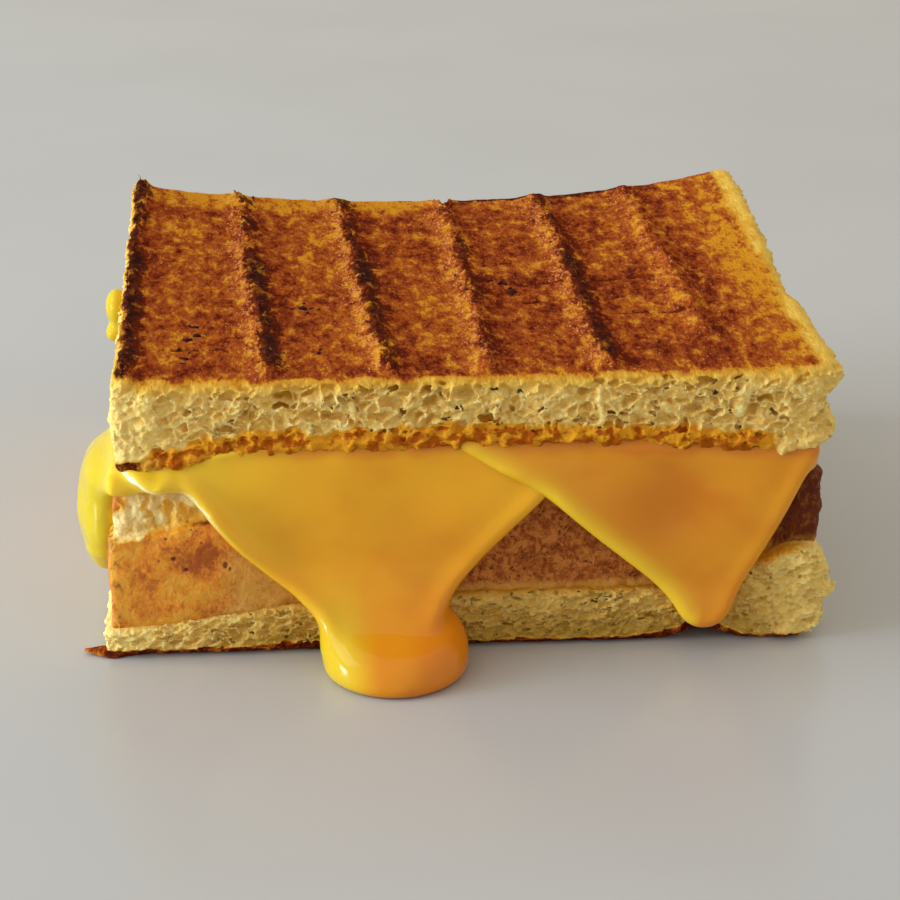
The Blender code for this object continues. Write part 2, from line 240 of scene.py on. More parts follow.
@dataclass(frozen=True)
class Grid:
    """Box of evenly spaced points at which a field is worked out, in millimetres."""

    low: Place
    high: Place
    step: float

    def axes(self) -> tuple[Array, Array, Array]:
        """The places along X, Y and Z, shaped so that they combine into the whole box.

        Returns:
            Three arrays.
        """
        lines = []
        for axis, (low, high) in enumerate(zip(self.low, self.high)):
            count = int(math.ceil((high - low) / self.step)) + 1
            line = np.float32(low) + np.arange(count, dtype=np.float32) * np.float32(self.step)
            shape = [1, 1, 1]
            shape[axis] = count
            lines.append(line.reshape(shape))
        return lines[0], lines[1], lines[2]

    def full(self, values: Array) -> Array:
        """A copy of values that may be flat along an axis, at every point of the box."""
        x, y, z = self.axes()
        return np.broadcast_to(values, (x.size, y.size, z.size)).astype(np.float32)

    def surface(self, values: Array) -> tuple[Array, Array]:
        """Mesh of the surface where the field is 0, one point for each cell that it crosses.

        Args:
            values: The field at every point of the box.

        Returns:
            Points in millimetres and four-sided faces that look outwards.
        """
        inside = values < 0.0
        count = np.zeros(tuple(n - 1 for n in values.shape), np.int8)
        offsets = [(a, b, c) for a in (0, 1) for b in (0, 1) for c in (0, 1)]
        nx, ny, nz = count.shape
        for a, b, c in offsets:
            count += inside[a : a + nx, b : b + ny, c : c + nz]
        active = (count > 0) & (count < 8)
        index = np.full(count.shape, -1, np.int32)
        cells = np.argwhere(active)
        index[active] = np.arange(len(cells), dtype=np.int32)
        i, j, k = cells.T
        corner = {o: values[i + o[0], j + o[1], k + o[2]] for o in offsets}
        total = np.zeros((len(cells), 3), np.float32)
        hits = np.zeros(len(cells), np.float32)
        for o in offsets:
            for axis in range(3):
                if o[axis]:
                    continue
                end = tuple(1 if n == axis else o[n] for n in range(3))
                a, b = corner[o], corner[end]
                crossed = (a < 0.0) != (b < 0.0)
                t = np.where(crossed, a / np.where(crossed, a - b, 1.0), 0.0)
                for n in range(3):
                    total[:, n] += crossed * (t if n == axis else o[n])
                hits += crossed
        points = (cells + total / hits[:, None]) * self.step + np.array(self.low, np.float32)
        return points.astype(np.float32), self._faces(inside, index)

    @staticmethod
    def _faces(inside: Array, index: Array) -> Array:
        """One face across every grid edge whose ends lie on different sides of the surface.

        Args:
            inside: Whether each point of the box is inside.
            index: Number of the mesh point in each cell, or -1.

        Returns:
            Four point numbers for each face.
        """
        faces = []
        for axis in range(3):
            one, two = [n for n in range(3) if n != axis]
            lower = np.take(inside, range(inside.shape[axis] - 1), axis)
            upper = np.take(inside, range(1, inside.shape[axis]), axis)
            change = lower != upper
            inner = [slice(None)] * 3
            inner[one] = slice(1, -1)
            inner[two] = slice(1, -1)
            edge = np.argwhere(change[tuple(inner)])
            edge[:, one] += 1
            edge[:, two] += 1
            corners = []
            for a, b in ((0, 0), (1, 0), (1, 1), (0, 1)):
                cell = edge.copy()
                cell[:, one] -= a
                cell[:, two] -= b
                corners.append(index[tuple(cell.T)])
            quads = np.stack(corners, 1)
            leaving = lower[tuple(edge.T)]
            if axis == 1:
                leaving = ~leaving
            quads[~leaving] = quads[~leaving][:, ::-1]
            faces.append(quads)
        return np.concatenate(faces)


def largest_part(points: Array, faces: Array) -> tuple[Array, Array]:
    """Drop every loose scrap and keep the one connected surface that has the most points.

    Args:
        points: Mesh points.
        faces: Four point numbers for each face.

    Returns:
        The points and faces of that surface.
    """
    label = np.arange(len(points))
    while True:
        low = label[faces].min(axis=1)
        new = label.copy()
        np.minimum.at(new, faces.ravel(), np.repeat(low, 4))
        new = new[new]
        if np.array_equal(new, label):
            break
        label = new
    kept = label == np.bincount(label).argmax()
    number = np.cumsum(kept) - 1
    faces = faces[kept[faces[:, 0]]]
    return points[kept], number[faces]


def new_mesh(name: str, points: Array, faces: Array) -> bpy.types.Mesh:
    """Make a mesh in metres.

    Args:
        name: Name of the mesh.
        points: Points in millimetres.
        faces: Point numbers of faces that all have as many corners.

    Returns:
        The mesh.
    """
    mesh = bpy.data.meshes.new(name)
    count, corners = faces.shape
    mesh.vertices.add(len(points))
    mesh.vertices.foreach_set("co", (points * MM).astype(np.float32).ravel())
    mesh.loops.add(count * corners)
    mesh.loops.foreach_set("vertex_index", faces.astype(np.int32).ravel())
    mesh.polygons.add(count)
    mesh.polygons.foreach_set("loop_start", np.arange(0, count * corners, corners, dtype=np.int32))
    mesh.update(calc_edges=True)
    mesh.validate()
    return mesh


def positions(mesh: bpy.types.Mesh) -> tuple[Array, Array, Array]:
    """Where a mesh's points are, in millimetres.

    Args:
        mesh: The mesh to read.

    Returns:
        X, Y and Z of every point.
    """
    flat = np.empty(len(mesh.vertices) * 3, np.float32)
    mesh.vertices.foreach_get("co", flat)
    places = flat.reshape(-1, 3) / MM
    return places[:, 0], places[:, 1], places[:, 2]


def paint(mesh: bpy.types.Mesh, **shares: Array) -> None:
    """Store named shares between 0 and 1 on a mesh's points, for its material to read.

    Args:
        mesh: The mesh to mark.
        **shares: One array for each name.
    """
    for name, values in shares.items():
        layer = mesh.attributes.new(name, "FLOAT", "POINT")
        spread = np.broadcast_to(np.asarray(values, np.float32), (len(mesh.vertices),))
        layer.data.foreach_set("value", np.clip(spread, 0.0, 1.0).astype(np.float32))


def bake(piece: bpy.types.Object) -> None:
    """Replace a piece's mesh by what its modifiers make of it.

    Args:
        piece: The object whose modifiers are applied.
    """
    bpy.context.view_layer.update()
    seen = piece.evaluated_get(bpy.context.evaluated_depsgraph_get())
    made = bpy.data.meshes.new_from_object(seen)
    old = piece.data
    piece.modifiers.clear()
    piece.data = made
    bpy.data.meshes.remove(old)


def sculpt(name: str, grid: Grid, values: Array, triangles: int, smooth: int = 0) -> bpy.types.Object:
    """Make a smooth-shaded object from a field.

    Args:
        name: Name of the piece.
        grid: The box that the field was worked out in.
        values: The field, negative inside.
        triangles: Most triangles that the mesh may have.
        smooth: How often the surface is relaxed.

    Returns:
        The object, in the scene.
    """
    points, faces = largest_part(*grid.surface(values))
    piece = bpy.data.objects.new(name, new_mesh(name, points, faces))
    bpy.context.scene.collection.objects.link(piece)
    if smooth:
        relax = piece.modifiers.new("relax", "SMOOTH")
        relax.iterations = smooth
        relax.factor = 0.5
    made = 2 * len(faces)
    if made > triangles:
        thin = piece.modifiers.new("thin", "DECIMATE")
        thin.ratio = triangles / made
    bake(piece)
    piece.data.shade_smooth()
    log.info("%s: %d triangles from %d", name, min(triangles, made), made)
    return piece


# ---------------------------------------------------------------- shader expressions


class Tree:
    """Node tree of one material, written as expressions."""

    MIX_SHARE, MIX_UNDER, MIX_OVER, MIX_COLOUR = 0, 6, 7, 2

    def __init__(self, name: str) -> None:
        """Make a material with an empty tree.

        Args:
            name: Name of the material.
        """
        self.material = bpy.data.materials.new(name)
        self.material.use_nodes = True
        self.nodes = self.material.node_tree.nodes
        self.links = self.material.node_tree.links
        self.nodes.clear()

    def node(self, kind: str, settings: dict | None = None, values: dict | None = None) -> bpy.types.Node:
        """Add a node.

        Args:
            kind: The node's type.
            settings: What is set on the node itself; stops are a colour ramp's.
            values: Value or link of each socket, by name or number.

        Returns:
            The node.
        """
        made = self.nodes.new(kind)
        for key, value in (settings or {}).items():
            if key == "stops":
                self._stops(made.color_ramp, value)
            else:
                setattr(made, key, value)
        for key, value in (values or {}).items():
            self.feed(made.inputs[key], value)
        return made

    @staticmethod
    def _stops(band: bpy.types.ColorRamp, stops: list[tuple[float, Colour]]) -> None:
        """Set a colour ramp's stops.

        Args:
            band: The ramp.
            stops: Place and colour of each stop.
        """
        while len(band.elements) < len(stops):
            band.elements.new(0.5)
        for element, (place, colour) in zip(band.elements, stops):
            element.position = place
            element.color = (*colour, 1.0)

    def feed(self, socket: bpy.types.NodeSocket, value: "Link | float | tuple") -> None:
        """Set a socket, or link it.

        Args:
            socket: The input to feed.
            value: A link, a number, a vector or a colour.
        """
        if isinstance(value, Link):
            self.links.new(value.socket, socket)
        elif socket.type == "RGBA" and isinstance(value, tuple) and len(value) == 3:
            socket.default_value = (*value, 1.0)
        else:
            socket.default_value = value

    def out(self, node: bpy.types.Node, name: str | int = 0) -> "Link":
        """A node's output as a value for expressions."""
        return Link(self, node.outputs[name])

    def share(self, name: str) -> "Link":
        """A share that was painted on the mesh."""
        return self.out(self.node("ShaderNodeAttribute", {"attribute_name": name}), "Fac")

    def noise(self, size: float | Size, detail: float, roughness: float = 0.55, warp: float = 0.0) -> "Link":
        """Random value between about 0.25 and 0.75 that changes with the place on the object.

        Args:
            size: Millimetres over which it changes, the same or one for each axis.
            detail: How many finer layers it has.
            roughness: Strength of the finer layers.
            warp: How much it is swirled.

        Returns:
            The value.
        """
        sizes = (size,) * 3 if isinstance(size, float) else size
        scale = tuple(1.0 / (MM * each) for each in sizes)
        where = self.out(self.node("ShaderNodeTexCoord"), "Object")
        where = self.out(self.node("ShaderNodeVectorMath", {"operation": "MULTIPLY"}, {0: where, 1: scale}))
        values = {"Vector": where, "Scale": 1.0, "Detail": detail, "Roughness": roughness, "Distortion": warp}
        return self.out(self.node("ShaderNodeTexNoise", None, values), "Fac")

    def ramped(self, value: "Link", stops: "list[tuple[float, Colour]]") -> "Link":
        """Colour that a value picks out of a row of stops."""
        return self.out(self.node("ShaderNodeValToRGB", {"stops": stops}, {"Fac": value}))

    def step(self, value: "Link", start: float, end: float) -> "Link":
        """Smooth rise from 0 at start to 1 at end.

        Args:
            value: What is measured.
            start: Where it is 0.
            end: Where it is 1.

        Returns:
            The share between 0 and 1.
        """
        if start > end:
            return 1.0 - self.step(value, end, start)
        settings = {"interpolation_type": "SMOOTHSTEP", "clamp": True}
        values = {"Value": value, "From Min": start, "From Max": end}
        return self.out(self.node("ShaderNodeMapRange", settings, values))

    def blend(self, under: "Link | Colour", over: "Link | Colour", share: "Link | float") -> "Link":
        """Mix two colours.

        Args:
            under: Colour where the share is 0.
            over: Colour where the share is 1.
            share: How much of the second colour shows.

        Returns:
            The mixed colour.
        """
        values = {self.MIX_SHARE: share, self.MIX_UNDER: under, self.MIX_OVER: over}
        made = self.node("ShaderNodeMix", {"data_type": "RGBA", "clamp_factor": True}, values)
        return self.out(made, self.MIX_COLOUR)

    def bump(self, height: "Link", depth: float, below: "Link | None" = None) -> "Link":
        """Fine relief.

        Args:
            height: Height as a share.
            depth: Millimetres that a share of 1 stands for.
            below: Coarser relief that this one lies on.

        Returns:
            The normal.
        """
        values: dict = {"Strength": 1.0, "Distance": depth * MM, "Height": height}
        if below is not None:
            values["Normal"] = below
        return self.out(self.node("ShaderNodeBump", None, values))

    def finish(self, **inputs: "Link | float | tuple") -> bpy.types.Material:
        """Feed a Principled shader and the output.

        Args:
            **inputs: Value or link of each socket, with _ for each space in its name.

        Returns:
            The material.
        """
        values = {name.replace("_", " "): value for name, value in inputs.items()}
        shader = self.node("ShaderNodeBsdfPrincipled", None, values)
        self.node("ShaderNodeOutputMaterial", None, {"Surface": self.out(shader)})
        return self.material


class Link:
    """Output of a node, for use in expressions on numbers."""

    def __init__(self, tree: Tree, socket: bpy.types.NodeSocket) -> None:
        """Wrap an output socket of a node in the tree."""
        self.tree = tree
        self.socket = socket

    def _math(self, operation: str, first: "Link | float", second: "Link | float") -> "Link":
        """Result of a Math node that works on two values."""
        made = self.tree.node("ShaderNodeMath", {"operation": operation}, {0: first, 1: second})
        return self.tree.out(made)

    def __add__(self, other: "Link | float") -> "Link":
        """Sum."""
        return self._math("ADD", self, other)

    __radd__ = __add__

    def __mul__(self, other: "Link | float") -> "Link":
        """Product."""
        return self._math("MULTIPLY", self, other)

    __rmul__ = __mul__

    def __sub__(self, other: "Link | float") -> "Link":
        """Difference."""
        return self._math("SUBTRACT", self, other)

    def __rsub__(self, other: "Link | float") -> "Link":
        """Difference from a number."""
        return self._math("SUBTRACT", other, self)

    def most(self, other: "Link | float") -> "Link":
        """The larger of two values."""
        return self._math("MAXIMUM", self, other)


# ---------------------------------------------------------------- finishes


@dataclass(frozen=True)
class BreadFinish:
    """Pale crumb, toasted golden, brown and black, soaked orange, with painted shade and highlights."""

    crumb: Colour = (0.82, 0.46, 0.070)
    crumb_soft: Colour = (0.90, 0.61, 0.145)
    # Painted highlight on the crests of the cell walls; also the pale fluffy ends.
    crumb_pale_highlight: Colour = (0.97, 0.77, 0.31)
    # Painted shade: the darker olive-gold of the cell hollows.
    hollow: Colour = (0.58, 0.285, 0.024)
    # Painted shade: the darker olive-gold used where the gloom share is high.
    pressed: Colour = (0.50, 0.29, 0.045)
    rind: Colour = (0.80, 0.47, 0.065)
    golden: Colour = (0.62, 0.25, 0.014)
    amber: Colour = (0.42, 0.098, 0.014)
    brown: Colour = (0.26, 0.042, 0.009)
    dark: Colour = (0.105, 0.014, 0.006)
    black: Colour = (0.040, 0.008, 0.005)
    # Painted highlight: pale pinkish glints on the toasted grains.
    crest: Colour = (0.70, 0.29, 0.110)
    soaked: Colour = (0.82, 0.36, 0.022)
    soaked_dark: Colour = (0.46, 0.11, 0.008)

    def material(self, name: str) -> bpy.types.Material:
        """Make the material.

        Args:
            name: Name of the material.

        Returns:
            The material, which reads the shares brown, char, deep, gold, ridge, soak, hollow, wall,
            fluff and gloom.
        """
        t = Tree(name)
        fine = t.noise(0.7, 4.0)
        # Painted shade: the crumb turns darker olive-gold in the cell hollows.
        crumb = t.blend(self.crumb, self.hollow, t.step(t.share("hollow") + (fine - 0.5) * 0.8, 0.1, 0.9))
        crumb = t.blend(crumb, self.crumb_soft, t.share("fluff") * 0.80)
        # Painted highlight: the crests of the cell walls and the pillars are paler, as are the fluffy ends.
        crumb = t.blend(crumb, self.crumb_pale_highlight, t.share("wall") * (0.25 + t.step(fine, 0.36, 0.62) * 0.75))
        # Painted shade: darker olive-gold crumb where the gloom share is high.
        crumb = t.blend(crumb, self.pressed, t.share("gloom"))
        blots = t.noise((1.9, 1.9, 1.3), 3.0)
        wet = t.share("soak")
        soaked = t.blend(self.soaked, self.soaked_dark, t.step(blots + (wet - 1.0) * 0.5, 0.41, 0.56))
        crumb = t.blend(crumb, soaked, t.step(wet + (fine - 0.5) * 0.7, 0.22, 0.55))

        wide = t.noise((7.0, 12.0, 7.0), 2.0)
        flecks = t.noise((1.8, 3.6, 1.8), 5.0, 0.64, 0.25)
        grains = t.noise((0.56, 1.15, 0.56), 3.0, 0.6)
        scorch = 0.5 + (flecks - 0.5) * 1.25 + (grains - 0.5) * 0.50 + (wide - 0.5) * 0.35
        # The deep share holds random browning, painted shade right of each ridge and painted light on its
        # left flank.
        scorch = scorch + (t.share("deep") - 0.5) * 0.42 - t.share("gold") * 0.26
        stops = [(0.26, self.golden), (0.42, self.amber), (0.60, self.brown), (0.76, self.dark)]
        toast = t.ramped(scorch, stops)
        # Painted highlight: small pale glints on the grains, more of them on the ridges.
        glints = t.noise((0.42, 0.85, 0.42), 2.0)
        toast = t.blend(toast, self.crest, t.step(glints + t.share("ridge") * 0.11, 0.65, 0.73) * 0.7)
        char = 0.06 + t.share("char") + (grains - 0.5) * 1.2 + (flecks - 0.5) * 1.8
        toast = t.blend(toast, self.dark, t.step(char, 0.36, 0.70) * 0.90)
        charred = t.step(char, 0.80, 1.15)
        toast = t.blend(toast, self.black, charred)

        edge = t.share("brown") + (flecks - 0.5) * 0.7
        rim = t.blend(crumb, self.rind, t.step(edge, 0.05, 0.70) * 0.85)
        rim = t.blend(rim, self.golden, t.step(edge, 0.62, 0.86) * 0.8)
        colour = t.blend(rim, toast, t.step(edge, 0.80, 0.97))
        relief = t.bump(grains, 0.30, t.bump(flecks, 0.40))
        return t.finish(
            Base_Color=colour,
            Roughness=0.78 - charred * 0.25,
            Normal=relief,
            Coat_Weight=charred * 0.05,
            Coat_Roughness=0.32,
            Specular_IOR_Level=0.0,
            Subsurface_Weight=0.22,
            Subsurface_Radius=(1.0, 0.75, 0.45),
            Subsurface_Scale=1.3 * MM,
        )


@dataclass(frozen=True)
class CheeseFinish:
    """Melted cheese, smooth, glossy and soft inside, with painted light, painted shade and a painted
    highlight streak.
    """

    # Painted shade: the deeper orange of the cheese where it lies in shade.
    deep: Colour = (0.74, 0.235, 0.007)
    body: Colour = (0.98, 0.475, 0.012)
    # Painted light: pale yellow where the window light falls.
    lit_lemon: Colour = (0.95, 0.66, 0.030)
    # Painted: a darker yellow that tones down the cheese where the window light falls strongest.
    side: Colour = (0.67, 0.49, 0.012)
    # Painted highlight: the pale cream of a glint.
    milky: Colour = (1.0, 0.92, 0.60)

    def material(self, name: str) -> bpy.types.Material:
        """Make the material.

        Args:
            name: Name of the material.

        Returns:
            The material, which reads the shares thin, deep, side, inset and milk.
        """
        t = Tree(name)
        clouds = t.noise((12.0, 12.0, 9.0), 2.0)
        # Painted shade: deeper orange where the deep share is high, with random clouds.
        colour = t.blend(self.body, self.deep, t.share("deep") + t.step(clouds, 0.45, 0.75) * 0.25)
        # Painted light: paler yellow where the window light falls (the thin share).
        colour = t.blend(colour, self.lit_lemon, t.share("thin"))
        # Painted: a darker yellow on the brightly lit left side and the puddle's lit left part.
        colour = t.blend(colour, self.side, t.share("side"))
        # Painted highlight: a pale cream streak along the rolled lower rim.
        wavy = t.share("inset") + (t.noise(1.6, 2.0) - 0.5) * 0.25
        streak = t.step(wavy, 0.10, 0.16) * t.step(wavy, 0.36, 0.26)
        colour = t.blend(colour, self.milky, streak * t.share("milk"))
        dimples = t.noise(3.5, 2.0)
        return t.finish(
            Base_Color=colour,
            Roughness=0.13 + t.step(clouds, 0.35, 0.7) * 0.08,
            Normal=t.bump(dimples, 0.06),
            Specular_IOR_Level=0.38,
            Subsurface_Weight=0.40,
            Subsurface_Radius=(1.0, 0.40, 0.05),
            Subsurface_Scale=2.2 * MM,
        )


@dataclass(frozen=True)
class FillingFinish:
    """Browned skin that is golden and moist at one end, tan with pores, then red-brown and dark."""

    yellow: Colour = (0.86, 0.41, 0.036)
    golden: Colour = (0.80, 0.27, 0.016)
    golden_dark: Colour = (0.44, 0.100, 0.010)
    tan: Colour = (0.79, 0.42, 0.088)
    tan_dark: Colour = (0.54, 0.23, 0.040)
    torn: Colour = (0.96, 0.75, 0.33)
    torn_gold: Colour = (0.88, 0.50, 0.062)
    russet: Colour = (0.32, 0.066, 0.010)
    russet_light: Colour = (0.62, 0.225, 0.046)
    dark: Colour = (0.12, 0.020, 0.005)
    fringe: Colour = (0.84, 0.46, 0.070)

    def material(self, name: str) -> bpy.types.Material:
        """Make the material.

        Args:
            name: Name of the material.

        Returns:
            The material, which reads the shares golden, tan, torn, dark, bruise, pore and fringe.
        """
        t = Tree(name)
        patches = t.noise((6.0, 6.0, 5.0), 4.0, 0.6, 0.5)
        fibres = t.noise((1.1, 1.1, 1.6), 4.0, 0.62, 0.8)
        fine = t.noise(0.55, 3.0)
        mottle = t.noise((2.0, 2.0, 1.5), 4.0, 0.6, 0.3)
        grain = (fine - 0.5) * 0.6 + (fibres - 0.5) * 0.7
        flesh = t.blend(self.russet_light, self.russet, t.step(mottle + grain, 0.32, 0.72))
        offset = mottle - 0.47
        cracks = 1.0 - t.step(offset * offset, 0.0, 0.0008)
        flesh = t.blend(flesh, self.dark, cracks * t.step(fibres, 0.42, 0.60) * 0.9)
        stops = [(0.34, self.yellow), (0.50, self.golden), (0.68, self.golden_dark)]
        warmth = patches - 0.05 + t.share("bruise") * 0.36 + (fibres - 0.5) * 0.55 + (fine - 0.5) * 0.25
        gold = t.ramped(warmth, stops)
        skin = t.blend(self.tan, self.tan_dark, t.step(patches + (fibres - 0.5) * 0.5, 0.46, 0.70))
        colour = t.blend(flesh, skin, t.step(t.share("tan") + (patches - 0.5) * 1.4, 0.1, 0.9))
        colour = t.blend(colour, gold, t.step(t.share("golden") + (fibres - 0.5) * 0.4, 0.1, 0.9))
        colour = t.blend(colour, self.torn_gold, t.step(t.share("torn") + (fibres - 0.5) * 0.5, 0.12, 0.34))
        strands = (fibres - 0.5) * 1.6 + (fine - 0.5) * 1.2
        colour = t.blend(colour, self.torn, t.step(t.share("torn") + strands, 0.64, 1.0))
        # The dark share holds real dark edges and painted shade under the cheese.
        shade = t.step(t.share("dark") + (fibres - 0.5) * 1.1, 0.15, 0.95)
        colour = t.blend(colour, self.dark, shade.most(t.step(t.share("pore"), 0.2, 0.8)))
        colour = t.blend(colour, self.fringe, t.share("fringe") * t.step(fibres, 0.40, 0.55) * 0.45)
        relief = t.bump(fine, 0.12, t.bump(fibres, 0.32))
        return t.finish(
            Base_Color=colour,
            Roughness=0.52 - t.share("golden") * 0.22,
            Normal=relief,
            Coat_Weight=t.share("golden") * 0.55,
            Coat_Roughness=0.16,
            Specular_IOR_Level=0.12,
            Subsurface_Weight=0.25,
            Subsurface_Radius=(1.0, 0.4, 0.12),
            Subsurface_Scale=1.6 * MM,
        )


@dataclass(frozen=True)
class CinderFinish:
    """Loose grains of burnt and toasted crumb."""

    black: Colour = (0.030, 0.008, 0.005)
    brown: Colour = (0.26, 0.050, 0.014)

    def material(self, name: str) -> bpy.types.Material:
        """Make the material.

        Args:
            name: Name of the material.

        Returns:
            The material, which reads the share pale.
        """
        t = Tree(name)
        fine = t.noise(0.4, 3.0)
        colour = t.blend(self.black, self.brown, t.share("pale") * t.step(fine, 0.3, 0.7))
        relief = t.bump(fine, 0.1)
        return t.finish(Base_Color=colour, Roughness=0.5 + fine * 0.2, Normal=relief, Specular_IOR_Level=0.12)


@dataclass(frozen=True)
class TableFinish:
    """Pale, faintly satin table top."""

    pale: Colour = (0.52, 0.512, 0.50)
    shade: Colour = (0.50, 0.492, 0.48)

    def material(self, name: str) -> bpy.types.Material:
        """Make the material.

        Args:
            name: Name of the material.

        Returns:
            The material.
        """
        t = Tree(name)
        clouds = t.noise(90.0, 2.0)
        colour = t.blend(self.pale, self.shade, t.step(clouds, 0.35, 0.65))
        return t.finish(Base_Color=colour, Roughness=0.22 + clouds * 0.06, Specular_IOR_Level=0.65)


# ---------------------------------------------------------------- shared shape of the layers


def node_box(name: str) -> tuple[Vector, Vector]:
    """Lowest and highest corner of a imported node, in millimetres."""
    low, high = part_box(name)
    return Vector(low) / MM, Vector(high) / MM


@dataclass(frozen=True)
class Layers:
    """Heights that the pieces of the sandwich share, in millimetres."""

    front: float
    back: float
    half: float
    toast_top: float
    filling_top: float
    crumb_top: float

    @classmethod
    def measured(cls) -> "Layers":
        """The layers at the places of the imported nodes, less their own bulges and corners.

        Returns:
            The layers.
        """
        toast_low, toast_high = node_box("bread_top")
        filling_low, filling_high = node_box("browned_filling")
        return cls(
            front=toast_low.y + 0.3,
            back=toast_high.y,
            half=(toast_high.x - toast_low.x) / 2.0 - 0.6,
            toast_top=toast_high.z - 4.15,
            filling_top=filling_high.z - 1.3,
            crumb_top=filling_low.z - 2.2,
        )

    def depth(self, y: Array) -> Array:
        """Share of the way from the front to the back."""
        return (y - self.front) / (self.back - self.front)

    def toast_over(self, x: Array, y: Array) -> Array:
        """Height of the toast's top without its ridges: a saddle with its back corners up."""
        corner = mix(0.5, 4.7 + 0.6 * x / self.half, self.depth(y))
        return self.toast_top + corner * np.abs(x / self.half) ** 2.4

    def toast_under(self, x: Array, y: Array) -> Array:
        """Height of the toast's underside, which arches over the cheese."""
        arch = 3.5 * ramp(x, -52.0, -30.0) - 1.9 * ramp(x, 12.0, 50.0)
        return 30.5 + arch + (x / self.half) ** 2 * ramp(y, self.front, self.back)

    def filling_over(self, x: Array) -> Array:
        """Height of the filling's upper side."""
        crown = 1.0 - (x / self.half) ** 2
        return self.filling_top + crown + 0.6 * ramp(x, 0.0, self.half)

    def slice_over(self, x: Array) -> Array:
        """Height of the bottom slice's upper side, which is fluffed up at its right end."""
        left_end = 2.0 * ramp(x, -55.0, -37.0) + 2.1 * ramp(x, -45.0, -10.0)
        return self.crumb_top + left_end + 6.6 * ramp(x, 31.0, 52.0)


LAYERS = Layers.measured()


# ---------------------------------------------------------------- bread


@dataclass
class Crumb:
    """Open foam of the crumb, which shows where a slice is cut."""

    seed: int
    wall: float = 0.24
    depth: float = 1.0
    fold: tuple[float, float, float] = (2.0, 1.6, 1.2)
    coarse: Bubbles = field(init=False)
    fine: Bubbles = field(init=False)
    warp: Lattice = field(init=False)

    def __post_init__(self) -> None:
        """Draw the cells."""
        self.coarse = Bubbles(self.seed, (2.3, 2.0, 1.4), 0.42)
        self.fine = Bubbles(self.seed + 1, (1.15, 1.0, 0.72), 0.35)
        self.warp = Lattice(self.seed + 2)

    def carve(self, x: Array, y: Array, z: Array, dense: Array) -> tuple[Array, Array]:
        """Torn cells: bowls that meet in thin crests, some of them deep.

        Args:
            x, y, z: Places along each axis.
            dense: How matted the crumb is, from 0 to 1.

        Returns:
            How deep the surface lies below its crests, and a field that is positive inside deep cells.
        """
        wx, wz = self._crumpled(x, y, z)
        large, large_rank = self.coarse.at(wx, y, wz)
        small, small_rank = self.fine.at(wx, y, wz)
        bowls = (0.40 + 1.30 * large_rank) * (1.0 - np.exp(-large / 0.26)) * self.depth
        pits = (0.10 + 0.50 * small_rank) * (1.0 - np.exp(-small / 0.12)) * self.depth
        folds = 0.60 * np.sqrt(np.abs(self.warp.at(wx, y, wz, self.fold))) * self.depth
        torn = 0.55 * self.warp.rough(z, y, x, 2.4, 3)
        deep = np.where(large_rank > 0.92 + 0.08 * dense, large - self.wall, -self.wall - 0.5 * large)
        return (bowls + pits + folds) * (1.0 - 0.65 * dense) - torn * (1.0 - 0.4 * dense) - 0.85, deep

    def _crumpled(self, x: Array, y: Array, z: Array) -> tuple[Array, Array]:
        """X and Z of each place, shifted so that the cell walls are crumpled."""
        warp = self.warp
        wx = x + 1.10 * warp.at(x, y, z, 2.6) + 0.45 * warp.at(y, x, z, 0.95)
        wz = z + 0.70 * warp.at(z, x, y, 2.3) + 0.36 * warp.at(z, y, x, 0.85)
        return wx, wz

    def wall_share(self, x: Array, y: Array, z: Array) -> Array:
        """How far a place lies on the crest of a cell wall, where a highlight is painted, from 0 to 1."""
        wx, wz = self._crumpled(x, y, z)
        large, small = self.coarse.at(wx, y, wz)[0], self.fine.at(wx, y, wz)[0]
        folds = np.abs(self.warp.at(wx, y, wz, self.fold))
        crest = np.maximum(np.exp(-large / 0.22), 0.7 * np.exp(-small / 0.10))
        return np.maximum(crest, 0.8 * np.exp(-folds / 0.10))


def strings(x: Array, z: Array, lines: tuple[tuple[float, float, float, float, float], ...]) -> Array:
    """How far a place lies on thick strings drawn over a face, from 0 to 1.

    Args:
        x, z: Places along each axis.
        lines: X and Z of each string's two ends, and its radius.

    Returns:
        The share, rounded over each string.
    """
    total = x * 0 + z * 0
    for ax, az, bx, bz, radius in lines:
        ex, ez = bx - ax, bz - az
        t = np.clip(((x - ax) * ex + (z - az) * ez) / (ex * ex + ez * ez), 0.0, 1.0)
        away = np.hypot(x - ax - t * ex, z - az - t * ez) / radius
        total = np.maximum(total, np.sqrt(np.clip(1.0 - away**2, 0.0, None)))
    return total


class Part(Enum):
    """The two meshes of a slice: its front, which shows its crumb closely, and all the rest."""

    FRONT = "front"
    REST = "rest"


